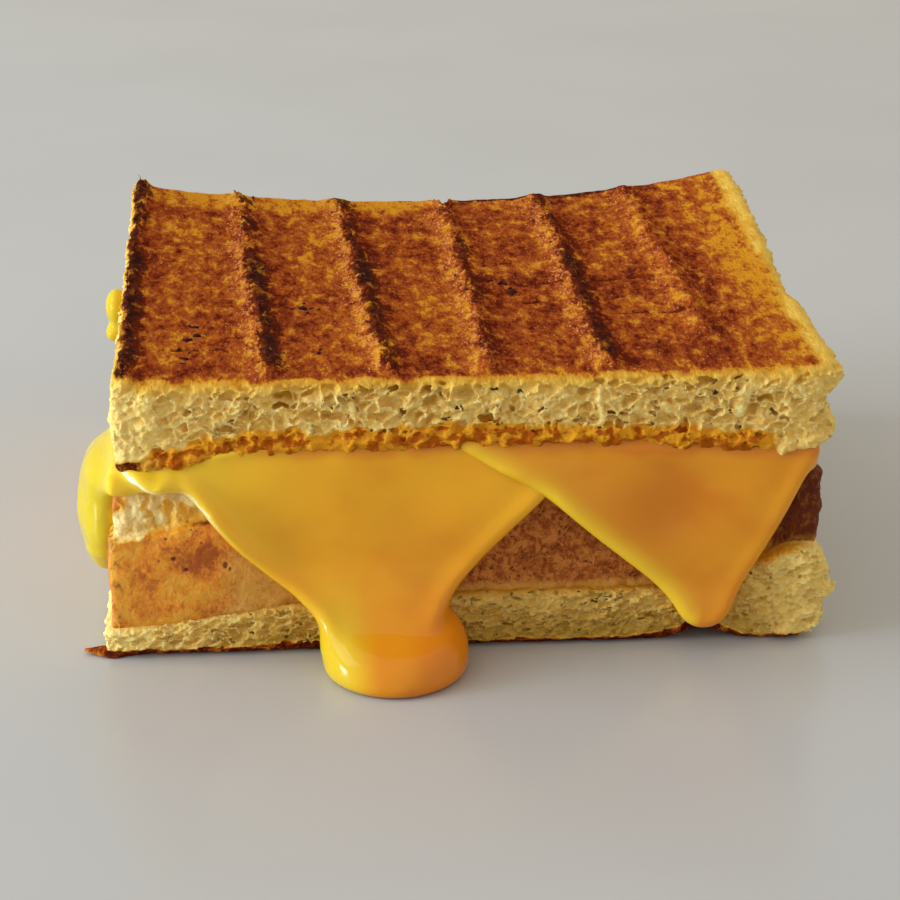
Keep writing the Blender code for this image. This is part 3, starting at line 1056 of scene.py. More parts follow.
@dataclass
class Slice:
    """What both slices of bread share: cut sides with open crumb, modelled finely at the front."""

    name: str
    low: Place
    high: Place
    step: float
    fine_step: float
    front_triangles: int
    rest_triangles: int
    seam: float = -43.0
    overlap: float = 0.5
    spare_steps: float = 3.0
    hole_depth: float = 4.0

    def make(self) -> list[bpy.types.Object]:
        """Build the slice's two meshes and mark their colours.

        Returns:
            The pieces.
        """
        pieces = []
        for part in Part:
            low, high = list(self.low), list(self.high)
            if part is Part.FRONT:
                high[1] = self.seam + self.overlap + self.spare_steps * self.fine_step
                grid = Grid(tuple(low), tuple(high), self.fine_step * COARSE)
                clip = grid.axes()[1] - self.seam - self.overlap
                triangles = self.front_triangles
            else:
                low[1] = self.seam - self.spare_steps * self.step
                grid = Grid(tuple(low), tuple(high), self.step * COARSE)
                clip = self.seam - grid.axes()[1]
                triangles = self.rest_triangles
            values = np.maximum(self.shape(grid), grid.full(clip))
            piece = sculpt(f"{self.name}_{part.value}", grid, values, triangles)
            self.mark(piece.data)
            pieces.append(piece)
        return pieces

    def skin(self, values: Array, sides: Array) -> tuple[Array, Array, Array]:
        """Numbers of the grid points near the surface, at the cut sides, where cells are carved."""
        near = (values > -self.hole_depth) & (values < 1.0) & (sides > -self.hole_depth)
        return np.nonzero(near)

    def shape(self, grid: Grid) -> Array:
        """Field of the slice, worked out by each kind of slice."""
        raise NotImplementedError

    def mark(self, mesh: bpy.types.Mesh) -> None:
        """Mark a mesh's colours, worked out by each kind of slice."""
        raise NotImplementedError


@dataclass(frozen=True)
class Ridge:
    """One ridge along the top of the toast: where it runs, how charred it is and where it starts."""

    front: float
    back: float
    char: float
    start: float = 0.8
    full: float = 5.5
    end: float = -0.5


@dataclass
class Toast(Slice):
    """Top slice: browned and ridged on top, with open crumb at its cut sides."""

    name: str = "top_slice"
    low: Place = (-57.5, -50.5, 27.5)
    high: Place = (57.8, 49.8, 52.5)
    step: float = 0.30
    fine_step: float = 0.20
    front_triangles: int = 190_000
    rest_triangles: int = 195_000
    left_front: float = -52.0
    left_back: float = -54.4
    right_plan: Line = (
        (-47.5, 54.6), (-30.0, 54.4), (-20.0, 53.9), (-17.0, 52.9), (0.0, 53.6), (20.0, 54.6),
        (47.5, 54.8),
    )
    right_profile: Line = (
        (31.0, -4.2), (32.6, -0.9), (34.9, -0.1), (37.2, -1.4), (39.1, -1.8), (41.4, 0.4),
        (44.6, 0.0),
    )
    ridges: tuple[Ridge, ...] = (
        Ridge(-51.4, -53.8, 0.9, -3.0, 1.0, 0.75),
        Ridge(-29.3, -35.8, 0.95),
        Ridge(-12.0, -17.8, 1.0),
        Ridge(3.0, 1.4, 0.62),
        Ridge(20.6, 18.6, 0.85),
        Ridge(37.1, 34.9, 0.22, 7.0, 24.0),
    )
    ridge_height: float = 1.15
    creases: tuple[tuple[float, float, float], ...] = (
        (-4.0, 6.0, 34.0),
        (-13.0, 8.0, 30.0),
        (-20.5, 22.0, 40.0),
        (7.0, 3.0, 15.0),
        (-33.0, -48.0, -34.0),
    )
    notch: tuple[Place, Size] = ((1.4, 49.6, 46.5), (1.5, 8.4, 8.0))
    pillars: tuple[tuple[float, float, float, float, float], ...] = (
        (18.4, 41.4, 18.9, 36.8, 0.55),
        (40.0, 41.0, 39.2, 37.6, 1.05),
        (28.0, 38.8, 31.0, 36.4, 0.60),
        (-17.9, 40.4, -17.4, 38.2, 0.60),
    )
    wobble: Lattice = field(default_factory=lambda: Lattice(11))
    crumb: Crumb = field(default_factory=lambda: Crumb(21))

    def left_at(self, y: Array) -> Array:
        """X of the left side."""
        return mix(self.left_front, self.left_back, LAYERS.depth(y))

    def sides(self, x: Array, y: Array, z: Array) -> Array:
        """Field of the four cut sides, which are ragged at the right end.

        Args:
            x, y, z: Places along each axis.

        Returns:
            The field.
        """
        wob = self.wobble
        left = self.left_at(y) + 0.35 * wob.rough(0.0, y, z, 4.0)
        left = left - 0.7 * hump(z, 37.0, 4.0) * ramp(-y, 30.0, 44.0)
        torn = 1.3 * wob.rough(9.0, y, z, 8.0, 4) + 0.5 * wob.at(0.0, y, z, 0.9)
        right = np.interp(y, *zip(*self.right_plan))
        right = right + np.interp(z, *zip(*self.right_profile)) * ramp(-y, 22.0, 40.0)
        right = right - 0.3 + 0.55 * torn
        cotton = 0.55 * ramp(-x, 40.0, 51.0) + 0.9 * ramp(x, 40.0, 50.0)
        front = LAYERS.front + 0.1 + 0.45 * wob.rough(x, 0.0, z, 6.0)
        front = front + cotton * wob.rough(x, 2.0, z, 1.9) + 1.6 * ramp(x, 49.5, 55.5)
        front = front + 0.9 * ramp(-x, 46.0, 53.0)
        low = z - LAYERS.toast_under(x, LAYERS.front)
        matted = wob.rough(x, 6.0, z * 0.7, 2.0) + 0.5 * wob.at(x, 1.0, z * 0.4, 0.9)
        front = front - (0.4 + 0.7 * matted) * fall(low, 0.5, 3.2)
        front = front + 0.22 * ramp(-x, 40.0, 51.0) * wob.at(x, 8.0, z, 0.75)
        back = LAYERS.back - 0.4 + 0.4 * wob.rough(x, 5.0, z, 6.0)
        return walls(x, y, (left, right), (front, back), 2.0)

    def ridge_lines(self, x: Array, y: Array) -> list[tuple[Ridge, Array, Array]]:
        """Every ridge seen from a place.

        Args:
            x, y: Places along each axis.

        Returns:
            Each ridge, the distance to the right of it and how much of it is left.
        """
        lines = []
        for number, ridge in enumerate(self.ridges):
            sway = 0.6 * self.wobble.at(y, 7.0 * number, 0.0, 8.0)
            fade = ramp(y, LAYERS.front + ridge.start, LAYERS.front + ridge.full)
            lines.append((ridge, x - mix(ridge.front, ridge.back, LAYERS.depth(y)) - sway, fade))
        return lines

    def ridge_share(self, x: Array, y: Array) -> Array:
        """How far a place lies on the crest of a ridge, from 0 to 1."""
        crests = [
            hump(across, -1.6, 2.1) * fade * min(1.0, 0.4 + ridge.char)
            for ridge, across, fade in self.ridge_lines(x, y)
        ]
        return np.max(crests, axis=0)

    def pillar_share(self, x: Array, z: Array) -> Array:
        """How far a place lies on one of the thick bright walls between large cells, from 0 to 1."""
        wx = x + 0.7 * self.wobble.rough(x, 2.0, z, 1.6, 3)
        return strings(wx, z + 0.5 * self.wobble.at(x, 8.0, z, 1.3), self.pillars)

    def crease_share(self, x: Array, y: Array) -> Array:
        """How deep in one of the small creases a place lies, from 0 to 1."""
        total = x * 0 + y * 0
        for number, (middle, start, end) in enumerate(self.creases):
            line = middle + 1.1 * self.wobble.at(x, 5.0 * number, 0.0, 6.0)
            reach = band(x, start, start + 4.0, end - 5.0, end)
            total = np.maximum(total, hump(y - line, 0.0, 0.6) * reach)
        return total

    def relief(self, x: Array, y: Array) -> Array:
        """Height of the ridges, grains, creases and pits over the smooth saddle.

        Args:
            x, y: Places along each axis.

        Returns:
            The height.
        """
        wob = self.wobble
        grain = np.abs(wob.at(x, y, 0.0, (1.0, 1.7, 1.0))) + 0.6 * np.abs(wob.at(x, y, 3.0, (0.6, 0.9, 0.6)))
        total = 0.20 * wob.rough(x, y, 9.0, 2.1, 3) - 0.30 * self.crease_share(x, y)
        lump = wob.rough(x, y, 20.0, 1.7, 2)
        for ridge, across, fade in self.ridge_lines(x, y):
            width = np.where(across < 0.0, 2.2, 1.8)
            uneven = 0.86 + 0.30 * wob.at(9.0 * ridge.char, y, 0.0, 4.0)
            end = 1.0 + ridge.end * ramp(y, 42.0, 47.0)
            shape = np.exp(-((across / width) ** 2)) * fade * uneven * end
            total = total + shape * (self.ridge_height + (grain - 0.5) + 0.45 * lump)
        return total

    def shape(self, grid: Grid) -> Array:
        """Field of the slice.

        Args:
            grid: Where to work it out.

        Returns:
            The field, negative inside.
        """
        x, y, z = grid.axes()
        wob = self.wobble
        top = LAYERS.toast_over(x, y) + self.relief(x, y)
        ragged = ramp(-y, 43.0, 46.0) * ramp(x, -47.0, -41.0) * (1.0 - 0.6 * ramp(x, 44.0, 51.0))
        lumpy = wob.rough(x, y, 0.0, 2.6) + 0.5 * wob.at(x, y, 4.0, 1.1)
        under = LAYERS.toast_under(x, y) - 0.1 - ragged * (0.5 + 0.9 * lumpy)
        sides = self.sides(x, y, z)
        values = smooth_max(grid.full(smooth_max(z - top, sides, 1.7)), grid.full(under - z), 0.6)
        values = np.maximum(values, grid.full(-ellipsoid(x, y, z, *self.notch)))
        i, j, k = self.skin(values, sides)
        px, py, pz = x[i, 0, 0], y[0, j, 0], z[0, 0, k]
        roof = top[i, j, 0] - pz
        floor = pz - under[i, j, 0]
        dense = 0.85 * ramp(-px, 38.0, 50.0) * ramp(-py, 30.0, 44.0) + 0.45 * ramp(px, 44.0, 52.0)
        dense = np.maximum(dense, fall(floor, 1.2, 2.8))
        cells, deep = self.crumb.carve(px, py, pz, dense)
        pillar = self.pillar_share(px, pz) * ramp(-py, 42.0, 45.0)
        cells = mix(cells, -0.55, pillar) * ramp(roof, 0.2, 1.5) * ramp(floor, -1.0, 0.8)
        deep = deep - 2.2 * ramp(-sides[i, j, k], 0.3, 1.3)
        deep = deep - fall(roof, 0.6, 1.4) - 0.8 * fall(floor, 1.2, 2.6)
        values[i, j, k] = np.maximum(values[i, j, k] + cells, deep)
        return values

    def mark(self, mesh: bpy.types.Mesh) -> None:
        """Mark where the slice is browned, charred, golden, soaked and fluffy, with painted shade and
        highlights.
        """
        x, y, z = positions(mesh)
        wob = self.wobble
        below_top = LAYERS.toast_over(x, y) + self.relief(x, y) - z
        above_under = z - LAYERS.toast_under(x, y)
        inward = -self.sides(x, y, z)
        burnt_corner = ramp(-x, 44.0, 50.5) * fall(above_under + 0.7 * wob.at(x, y, z, 1.6), 0.9, 2.3)
        burnt_corner = burnt_corner * ramp(-y, 30.0, 40.0)
        margin = 49.6 + 1.6 * wob.rough(x, y, 0.0, 6.0)
        pale_rim = 0.24 * fall(y - LAYERS.front + 1.2 * wob.rough(x, y, 0.0, 3.0), 0.4, 2.2)
        brown = fall(below_top, 0.0, 3.2) * (1.0 - 0.42 * ramp(x - margin, -0.5, 4.0)) * (1.0 - pale_rim)
        soak = fall(above_under + 1.5 * wob.rough(x, y, z, 3.2), 1.5, 3.3) * ramp(inward, -2.0, -1.0)
        soak = soak * (1.0 - 0.9 * ramp(-x, 47.0, 50.0)) * (1.0 - 0.85 * ramp(x, 41.0, 47.0))
        char, deep = self._scorched_and_shaded(x, y, z, below_top)
        paint(
            mesh,
            brown=np.maximum(brown, burnt_corner),
            char=np.maximum(char, 0.72 * burnt_corner),
            deep=deep,
            gold=self._golden(x, y),
            soak=soak,
            ridge=self.ridge_share(x, y),
            # Painted highlight on the wall crests and pillars, with the pale fluffy ends.
            wall=self._walls_and_highlights(x, y, z, inward),
            # Painted shade in the cell hollows, a little more from the middle to the right end.
            hollow=ramp(inward, -0.1, 1.4) + 0.15 * band(x, -10.0, 15.0, 46.0, 52.0),
            fluff=ramp(-x, 38.0, 50.0) * ramp(-y, 38.0, 46.0) + ramp(x, 45.0, 53.0),
            # Painted shade: darker olive-gold in the hollows from the middle to the right end.
            gloom=0.45 * band(x, -25.0, 15.0, 46.0, 52.0) * ramp(inward, 0.1, 1.3),
        )

    def _scorched_and_shaded(self, x: Array, y: Array, z: Array, below_top: Array) -> tuple[Array, Array]:
        """Char along the ridges, the left edge and the creases, and how deeply the rest is browned, with
        painted light and shade at the ridges.

        Args:
            x, y, z: Places along each axis.
            below_top: How far they lie below the slice's top.

        Returns:
            How charred each place is, and how deeply it is browned, with painted light and shade beside the
            ridges.
        """
        wob = self.wobble
        deep = 0.50 + 0.34 * wob.rough(x, y, 4.0, 14.0) + 0.06 * ramp(x, -30.0, 0.0)
        strip = fall(x - self.left_at(y) + 0.8 * wob.at(0.0, y, 0.0, 3.0), 1.2, 2.8)
        strip = strip * (0.95 + 0.3 * wob.at(0.0, y, z, 4.0)) * fall(below_top, 0.9, 1.8)
        rim = ramp(y + 0.9 * wob.at(x, y, 0.0, 5.0), 43.2, 45.0) * band(x, 2.0, 5.0, 31.0, 38.0)
        char = np.max([strip, rim, 0.62 * self.crease_share(x, y)], axis=0)
        for ridge, across, fade in self.ridge_lines(x, y):
            # Char lies right of each crest and reaches further to the right: partly real char, partly painted
            # shade of the ridge.
            width = np.where(across < 0.6, 1.7, 2.2)
            patchy = 0.84 + 0.95 * wob.at(y, 31.0 * ridge.char, 0.0, 6.0)
            burnt = np.exp(-(((across - 0.6) / width) ** 2)) * ridge.char * fade * patchy
            char = np.maximum(char, burnt)
            # Painted light on each ridge's left flank and painted shade to its right, both in the deep share.
            bright = 0.24 * (0.8 + 0.9 * wob.at(x, y, 2.0 * ridge.char, 6.0))
            deep = deep + 0.18 * hump(across, 3.2, 2.6) * fade - bright * hump(across, -1.8, 1.3) * fade
        return char, deep

    def _golden(self, x: Array, y: Array) -> Array:
        """How golden the top is, along its front edge, at its right end and in its back corners."""
        front = fall(y - LAYERS.front, 0.3, 2.6)
        right = ramp(x, 39.0, 50.0) * (0.75 + 0.4 * self.wobble.at(x, y, 0.0, 9.0))
        right = right * (1.0 - 0.4 * ramp(-y, 15.0, 40.0))
        back_left = 1.2 * ramp(y, 34.0, 43.0) * fall(x, -4.0, 2.0)
        back_right = 0.8 * ramp(y, 34.0, 44.0) * ramp(x, 36.0, 44.0)
        return np.max([front, right, back_left, back_right], axis=0)

    def _walls_and_highlights(self, x: Array, y: Array, z: Array, inward: Array) -> Array:
        """How far a place lies on a cell-wall crest or a pillar, painted paler as a highlight, or on the
        fluffy ends.

        Args:
            x, y, z: Places along each axis.
            inward: How far they lie inside the cut sides.

        Returns:
            The share.
        """
        above_under = z - LAYERS.toast_under(x, y)
        cells = self.crumb.wall_share(x, y, z) * fall(inward, 0.3, 1.4)
        left_end = 0.75 * ramp(-x, 45.0, 52.5) * fall(above_under, 5.5, 11.0) * ramp(-y, 36.0, 44.0)
        right_end = 0.45 * ramp(x, 50.0, 55.0)
        pillars = 1.2 * self.pillar_share(x, z) * fall(inward, 0.6, 1.2) * ramp(-y, 42.0, 45.0)
        return np.max([cells, left_end, right_end, pillars], axis=0)


@dataclass
class BottomSlice(Slice):
    """Bottom slice: a pressed band of crumb on a browned skin, torn and fluffy at its right end."""

    name: str = "bottom_slice"
    low: Place = (-61.5, -50.5, -0.9)
    high: Place = (58.8, 49.5, 17.8)
    step: float = 0.42
    fine_step: float = 0.21
    front_triangles: int = 150_000
    rest_triangles: int = 50_000
    left: float = -55.4
    right_profile: Line = (
        (0.0, 49.5), (1.5, 51.8), (3.7, 53.4), (7.9, 56.0), (12.2, 54.3), (15.4, 51.6),
        (17.5, 50.0),
    )
    arch_x: float = 35.2
    above_table: float = 0.03
    scrap: tuple[Place, Size] = ((-55.4, 0.0, 0.35), (3.9, 2.3, 0.36))
    wobble: Lattice = field(default_factory=lambda: Lattice(41))
    crumb: Crumb = field(default_factory=lambda: Crumb(51, wall=0.30, depth=0.95))

    def sides(self, x: Array, y: Array, z: Array) -> Array:
        """Field of the four cut sides.

        Args:
            x, y, z: Places along each axis.

        Returns:
            The field.
        """
        wob = self.wobble
        torn = 1.3 * wob.rough(0.0, y, z, 7.0, 4) + 0.5 * wob.at(0.0, y, z, 0.9)
        feather = 1.3 * wob.at(0.0, y * 0.5, z, 1.3) * fall(z, 8.0, 12.0)
        right = np.interp(z, *zip(*self.right_profile)) - 0.2 + 0.7 * torn + feather
        left = self.left + 0.5 * wob.rough(4.0, y, z, 4.0)
        cotton = 0.35 * ramp(-x, 46.0, 53.0) + 1.4 * ramp(x, 38.0, 48.0)
        grainy = 0.38 * wob.rough(x - 0.8 * z, 7.0, z, 1.3, 2)
        front = LAYERS.front + 0.1 + 0.45 * wob.rough(x, 0.0, z, 6.0)
        front = front + cotton * wob.rough(x, 2.0, z, 1.9)
        front = front + grainy - 0.5 * ramp(x, 34.0, 50.0) + 1.6 * ramp(x, 50.0, 56.0)
        back = LAYERS.back - 0.9 + 0.5 * wob.rough(x, 5.0, z, 6.0)
        return walls(x, y, (left, right), (front, back), 1.5)

    def arch_lift(self, x: Array, y: Array) -> Array:
        """How far the underside is lifted off the table under the hanging drop."""
        arch = np.hypot((x - self.arch_x) / 6.4, (y - LAYERS.front) / 5.0)
        return 2.1 * fall(arch, 0.1, 1.0)

    @staticmethod
    def slanted(x: Array, y: Array, z: Array) -> tuple[Array, Array, Array]:
        """Places at which the pressed crumb looks up its cells, which are small and lean over."""
        return x * 1.25 - z * 0.8, y * 1.4, z * 1.6

    def over(self, x: Array, y: Array) -> Array:
        """Height of the upper side, uneven as the crumb is pressed."""
        over = LAYERS.slice_over(x) + 0.35 * self.wobble.rough(x, y, 0.0, 3.0)
        return over + 0.9 * ramp(x, 42.0, 50.0) * self.wobble.rough(x, y, 8.0, 4.0)

    def shape(self, grid: Grid) -> Array:
        """Field of the slice.

        Args:
            grid: Where to work it out.

        Returns:
            The field, negative inside.
        """
        x, y, z = grid.axes()
        over = self.over(x, y)
        sides = self.sides(x, y, z)
        foot = self.above_table + 0.02 - z + self.arch_lift(x, y)
        foot = foot + 0.5 * ramp(sides, -1.5, 0.0) * (0.5 + 0.5 * self.wobble.rough(x, y, 0.0, 5.0))
        values = grid.full(smooth_max(smooth_max(z - over, foot, 0.5), sides, 1.2))
        i, j, k = self.skin(values, sides)
        px, py, pz = x[i, 0, 0], y[0, j, 0], z[0, 0, k]
        roof = over[i, j, 0] - pz
        dense = 0.22 + 0.45 * ramp(-px, 44.0, 53.0) + 0.42 * ramp(px, 38.0, 48.0)
        cells, deep = self.crumb.carve(*self.slanted(px, py, pz), dense)
        deep = deep - 2.0 * ramp(-sides[i, j, k], 0.3, 1.2) - fall(pz, 1.2, 2.2) - fall(roof, 0.6, 1.4)
        fade = ramp(pz, 0.7, 1.6) * ramp(roof, -0.2, 0.8)
        values[i, j, k] = np.maximum(values[i, j, k] + cells * fade, deep)
        taper = 0.45 + 0.55 * ramp(x, -59.0, -54.0)
        scrap = ellipsoid(x, (y + 45.4) / taper, z + 0.10 * (x + 56.0), *self.scrap)
        values = smooth_min(values, grid.full(scrap), 0.4)
        return np.maximum(values, grid.full(self.above_table - z))

    def mark(self, mesh: bpy.types.Mesh) -> None:
        """Mark where the slice is browned, charred, golden, soaked and fluffy, with painted shade and
        highlights.
        """
        x, y, z = positions(mesh)
        wob = self.wobble
        inward = -self.sides(x, y, z)
        below = LAYERS.slice_over(x) - z
        scorched = 0.9 * hump(x, -25.0, 9.0) + 0.6 * hump(x, 31.0, 7.0) + 0.3 * ramp(-x, 30.0, 50.0)
        rim = z - self.arch_lift(x, y) + 0.5 * wob.rough(x, y, z, 2.4) - scorched
        scrap = ramp(-x, 55.0, 56.0)
        char = fall(rim, 0.5, 1.2) * (0.60 + 0.55 * wob.rough(x, y, z, 7.0)) * (1.0 - 0.7 * scrap)
        line = 0.30 + ramp(x, -18.0, -6.0) * 0.04
        soak = fall(below + 0.3 * wob.rough(x, y, z, 3.0), 0.0, 0.9) * line
        soak = soak + 0.20 * ramp(x, 37.0, 41.0) * fall(below, 0.2, 1.6) * fall(x, 45.0, 52.0)
        fluff = ramp(x, 36.0, 47.0) + ramp(-x, 42.0, 52.0)
        middle = band(x, -46.0, -30.0, 40.0, 50.0)
        # Painted shade: the middle of the slice darker towards its bottom.
        gloom = middle * mix(0.85, 0.35, ramp(z, 1.0, 6.0))
        # Painted highlight on the crests of the cell walls, weaker where the painted shade lies.
        wall = self.crumb.wall_share(*self.slanted(x, y, z)) * fall(inward, 0.3, 1.4) * (1.0 - 0.5 * gloom)
        right_end = 0.95 * ramp(x, 43.0, 53.0) * fall(z, 5.0, 12.0)
        paint(
            mesh,
            brown=fall(rim, 0.9, 1.7),
            char=char,
            deep=0.75,
            gold=0.10 + 0.8 * scrap,
            soak=soak,
            ridge=0.0,
            wall=np.max([wall, right_end, 0.9 * ramp(-x, 47.0, 53.5)], axis=0),
            # Painted shade in the cell hollows, and darker towards the bottom in the middle of the slice.
            hollow=np.maximum(ramp(inward, -0.2, 1.4), middle * mix(0.95, 0.50, ramp(z, 1.0, 7.0))),
            fluff=np.maximum(fluff, 0.5 * hump(below, 1.3, 0.6)),
            gloom=gloom,
        )


# ---------------------------------------------------------------- filling


@dataclass
class Filling(Slice):
    """Thick browned filling with a swollen golden end, a torn lip above it and small pores."""

    name: str = "browned_filling"
    low: Place = (-58.0, -50.0, 4.0)
    high: Place = (56.0, 49.0, 30.5)
    step: float = 0.55
    fine_step: float = 0.26
    front_triangles: int = 90_000
    rest_triangles: int = 40_000
    left: float = -54.4
    right: float = 52.9
    front: float = -45.5
    back: float = 46.4
    soft: float = 2.2
    lip_z: float = 19.4
    left_lip: float = -50.0
    pores: int = 22
    pore_seed: int = 77
    curds: tuple[tuple[float, float, float, float, float], ...] = (
        (-50.0, 27.0, -50.6, 22.6, 1.5),
        (-50.6, 22.6, -52.3, 20.6, 1.9),
        (-52.3, 20.6, -48.9, 20.4, 1.2),
        (-46.8, 26.0, -47.3, 22.6, 1.1),
        (-47.3, 22.6, -46.6, 21.2, 1.1),
        (-47.0, 25.4, -43.6, 24.8, 0.9),
        (-43.2, 24.6, -40.8, 23.4, 0.7),
    )
    wobble: Lattice = field(default_factory=lambda: Lattice(71))

    def lip(self, x: Array) -> Array:
        """Height of the lip between the golden skin and the torn part above it."""
        return self.lip_z + 2.4 * ramp(x, -50.0, -38.0) + 0.5 * self.wobble.at(x, 0.0, 0.0, 3.0)

    def lip_share(self, x: Array, z: Array) -> Array:
        """How far a place lies above the lip, where there is one."""
        return ramp(z - self.lip(x), -0.4, 0.5) * fall(x, -40.0, -35.0)

    def front_at(self, x: Array, z: Array) -> Array:
        """Y of the front face.

        Args:
            x, z: Places along each axis.

        Returns:
            The place of the face along Y.
        """
        wob = self.wobble
        bulge = ramp(-x, 20.0, 40.0)
        swell = 1.9 * bulge * hump(z, 12.0, 8.5) + 0.5 * fall(z, 7.0, 12.0)
        knobs = (0.35 + 0.15 * bulge) * wob.rough(x, 0.0, z, 4.2, 3)
        flaky = 0.75 * np.abs(wob.rough(x, 3.0, z * 0.8, 2.4, 3)) * ramp(x, -20.0, 0.0)
        torn = self.lip_share(x, z) * (2.0 + 1.1 * wob.rough(x, 5.0, z * 0.7, 1.8, 3))
        return self.front - swell + knobs + flaky + torn - 0.35 * self.curd_share(x, z)

    def curd_share(self, x: Array, z: Array) -> Array:
        """How far a place lies on the creamy strings in the torn part, from 0 to 1."""
        wx = x + 1.1 * self.wobble.rough(x, 2.0, z, 1.5, 3)
        wz = z + 1.1 * self.wobble.rough(x, 8.0, z, 1.5, 3)
        return strings(wx, wz, self.curds) * fall(x, -41.0, -39.0)

    def _pore_field(self, x: Array, y: Array, z: Array) -> Array:
        """Field that is negative inside the pores of the front skin.

        Args:
            x, y, z: Places along each axis.

        Returns:
            The field.
        """
        rng = np.random.default_rng(self.pore_seed)
        total = np.full(np.broadcast(x, y, z).shape, FAR_AWAY, np.float32)
        for _ in range(self.pores):
            px = rng.uniform(-47.0, -16.0)
            pz = rng.uniform(9.0, 24.0)
            size = rng.uniform(0.16, 0.46)
            py = float(self.front_at(np.array([px]), np.array([pz]))[0])
            flat = rng.uniform(0.7, 1.3)
            d = np.sqrt((x - px) ** 2 + (y - py) ** 2 + ((z - pz) * flat) ** 2) - size
            total = np.minimum(total, d)
        return total

    def shape(self, grid: Grid) -> Array:
        """Field of the filling.

        Args:
            grid: Where to work it out.

        Returns:
            The field, negative inside.
        """
        x, y, z = grid.axes()
        wob = self.wobble
        over = LAYERS.filling_over(x) - 0.2
        under = LAYERS.slice_over(x) - 1.5
        caps = smooth_max(z - over, under - z, 1.0)
        back = self.back + 0.5 * wob.rough(x, 9.0, z, 6.0, 4)
        notch = 0.8 * self.lip_share(np.array([self.left_lip], np.float32), z) * ramp(-y, 30.0, 40.0)
        left = self.left + 0.5 * wob.rough(0.0, y, z, 6.0, 4) + notch
        right = self.right + 0.9 * wob.rough(9.0, y, z, 5.0, 4) + 0.4 * wob.at(0.0, y, z, 1.2)
        sides = walls(x, y, (left, right), (self.front_at(x, z), back), 1.4)
        values = grid.full(smooth_max(caps, sides, self.soft))
        i, j, k = np.nonzero((np.abs(values) < 1.2) & (y < self.front + 3.0))
        pits = self._pore_field(x[i, 0, 0], y[0, j, 0], z[0, 0, k])
        values[i, j, k] = smooth_max(values[i, j, k], -pits, 0.3)
        return values

    def mark(self, mesh: bpy.types.Mesh) -> None:
        """Mark the golden, tan, torn and dark parts, the pores, and painted shade under the right cheese."""
        x, y, z = positions(mesh)
        wob = self.wobble
        wide = wob.rough(x, y, z, 7.0)
        drift = x + (5.0 + 11.0 * ramp(y, -40.0, 0.0)) * wide
        over_slice = z - LAYERS.slice_over(x)
        lip = self.lip_share(x, z) * ramp(-y, 38.0, 42.0)
        curds = ramp(self.curd_share(x, z), 0.0, 0.7) * ramp(-y, 38.0, 42.0)
        edge = hump(z - self.lip(x), -0.1, 0.30) * fall(x, -39.0, -35.0)
        edge = edge * (0.35 + 0.5 * wob.at(x, y, z, 2.0)) * ramp(x, -50.0, -44.0)
        corner = ramp(-x, 51.9, 53.2) * (0.26 + 0.70 * wob.rough(x, y, z, 0.9, 2)) * ramp(-y, 40.0, 44.0)
        right_end = 0.80 * ramp(x + 6.0 * wide * ramp(y, -40.0, 0.0), 40.0, 48.0)
        # Painted shade on the filling under the overhanging right cheese.
        shade_under_cheese = 0.45 * ramp(z, 19.0, 24.0) * ramp(x, 0.0, 8.0)
        near = y < self.front + 2.5
        pore = np.zeros_like(x)
        pore[near] = fall(self._pore_field(x[near], y[near], z[near]), -0.2, 0.2)
        paint(
            mesh,
            golden=fall(drift, -45.0, -31.0),
            tan=np.maximum(band(drift, -41.0, -33.0, -18.0, 2.0), 0.5 * fall(over_slice, 0.5, 2.0)),
            torn=np.maximum(0.46 * lip * ramp(x, -53.0, -51.0), curds),
            dark=np.max([edge, corner, right_end, shade_under_cheese], axis=0),
            bruise=hump(np.hypot((x + 43.5) / 1.3, z - 16.5), 0.0, 3.6) * 0.55,
            pore=pore,
            fringe=fall(over_slice + 0.4 * wob.at(x, y, z, 2.0), 0.1, 1.3) * ramp(x, -18.0, -6.0),
        )


# ---------------------------------------------------------------- cheese


def outline_distance(x: Array, z: Array, outline: list[tuple[float, float]]) -> Array:
    """Distance to a closed outline in the XZ plane, negative inside.

    Args:
        x, z: Places along each axis.
        outline: Corners of the outline.

    Returns:
        The distance.
    """
    shape = np.broadcast(x, z).shape
    nearest = np.full(shape, 1e9, np.float32)
    inside = np.zeros(shape, bool)
    for (ax, az), (bx, bz) in zip(outline, outline[1:] + outline[:1]):
        ex, ez = bx - ax, bz - az
        t = np.clip(((x - ax) * ex + (z - az) * ez) / (ex * ex + ez * ez), 0.0, 1.0)
        nearest = np.minimum(nearest, (x - ax - t * ex) ** 2 + (z - az - t * ez) ** 2)
        if ez:
            crosses = ((az <= z) != (bz <= z)) & (x < ax + (z - az) * ex / ez)
            inside ^= crosses
    return np.where(inside, -1.0, 1.0) * np.sqrt(nearest)


def rounded(points: list[tuple[float, float]], steps: int = 6) -> list[tuple[float, float]]:
    """Smooth closed curve through the corners of an outline.

    Args:
        points: Corners of the outline.
        steps: Points made between two corners.

    Returns:
        The points of the curve.
    """
    curve = []
    count = len(points)
    for n in range(count):
        before, start, end, after = (np.array(points[(n + m) % count]) for m in (-1, 0, 1, 2))
        for step in range(steps):
            t = step / steps
            a = 2.0 * start + (end - before) * t
            b = (2.0 * before - 5.0 * start + 4.0 * end - after) * t * t
            c = (3.0 * start - before - 3.0 * end + after) * t**3
            place = 0.5 * (a + b + c)
            curve.append((float(place[0]), float(place[1])))
    return curve


def rounded_plate(flat: Array, across: Array, half: Array | float, edge: float) -> Array:
    """Plate with round edges.

    Args:
        flat: Distance to the plate's outline, negative inside.
        across: Distance from the plate's middle plane.
        half: Half its thickness.
        edge: Radius of its edges.

    Returns:
        The field of the plate.
    """
    a = flat + edge
    b = np.abs(across) - (half - edge)
    return np.hypot(np.maximum(a, 0.0), np.maximum(b, 0.0)) + np.minimum(np.maximum(a, b), 0.0) - edge


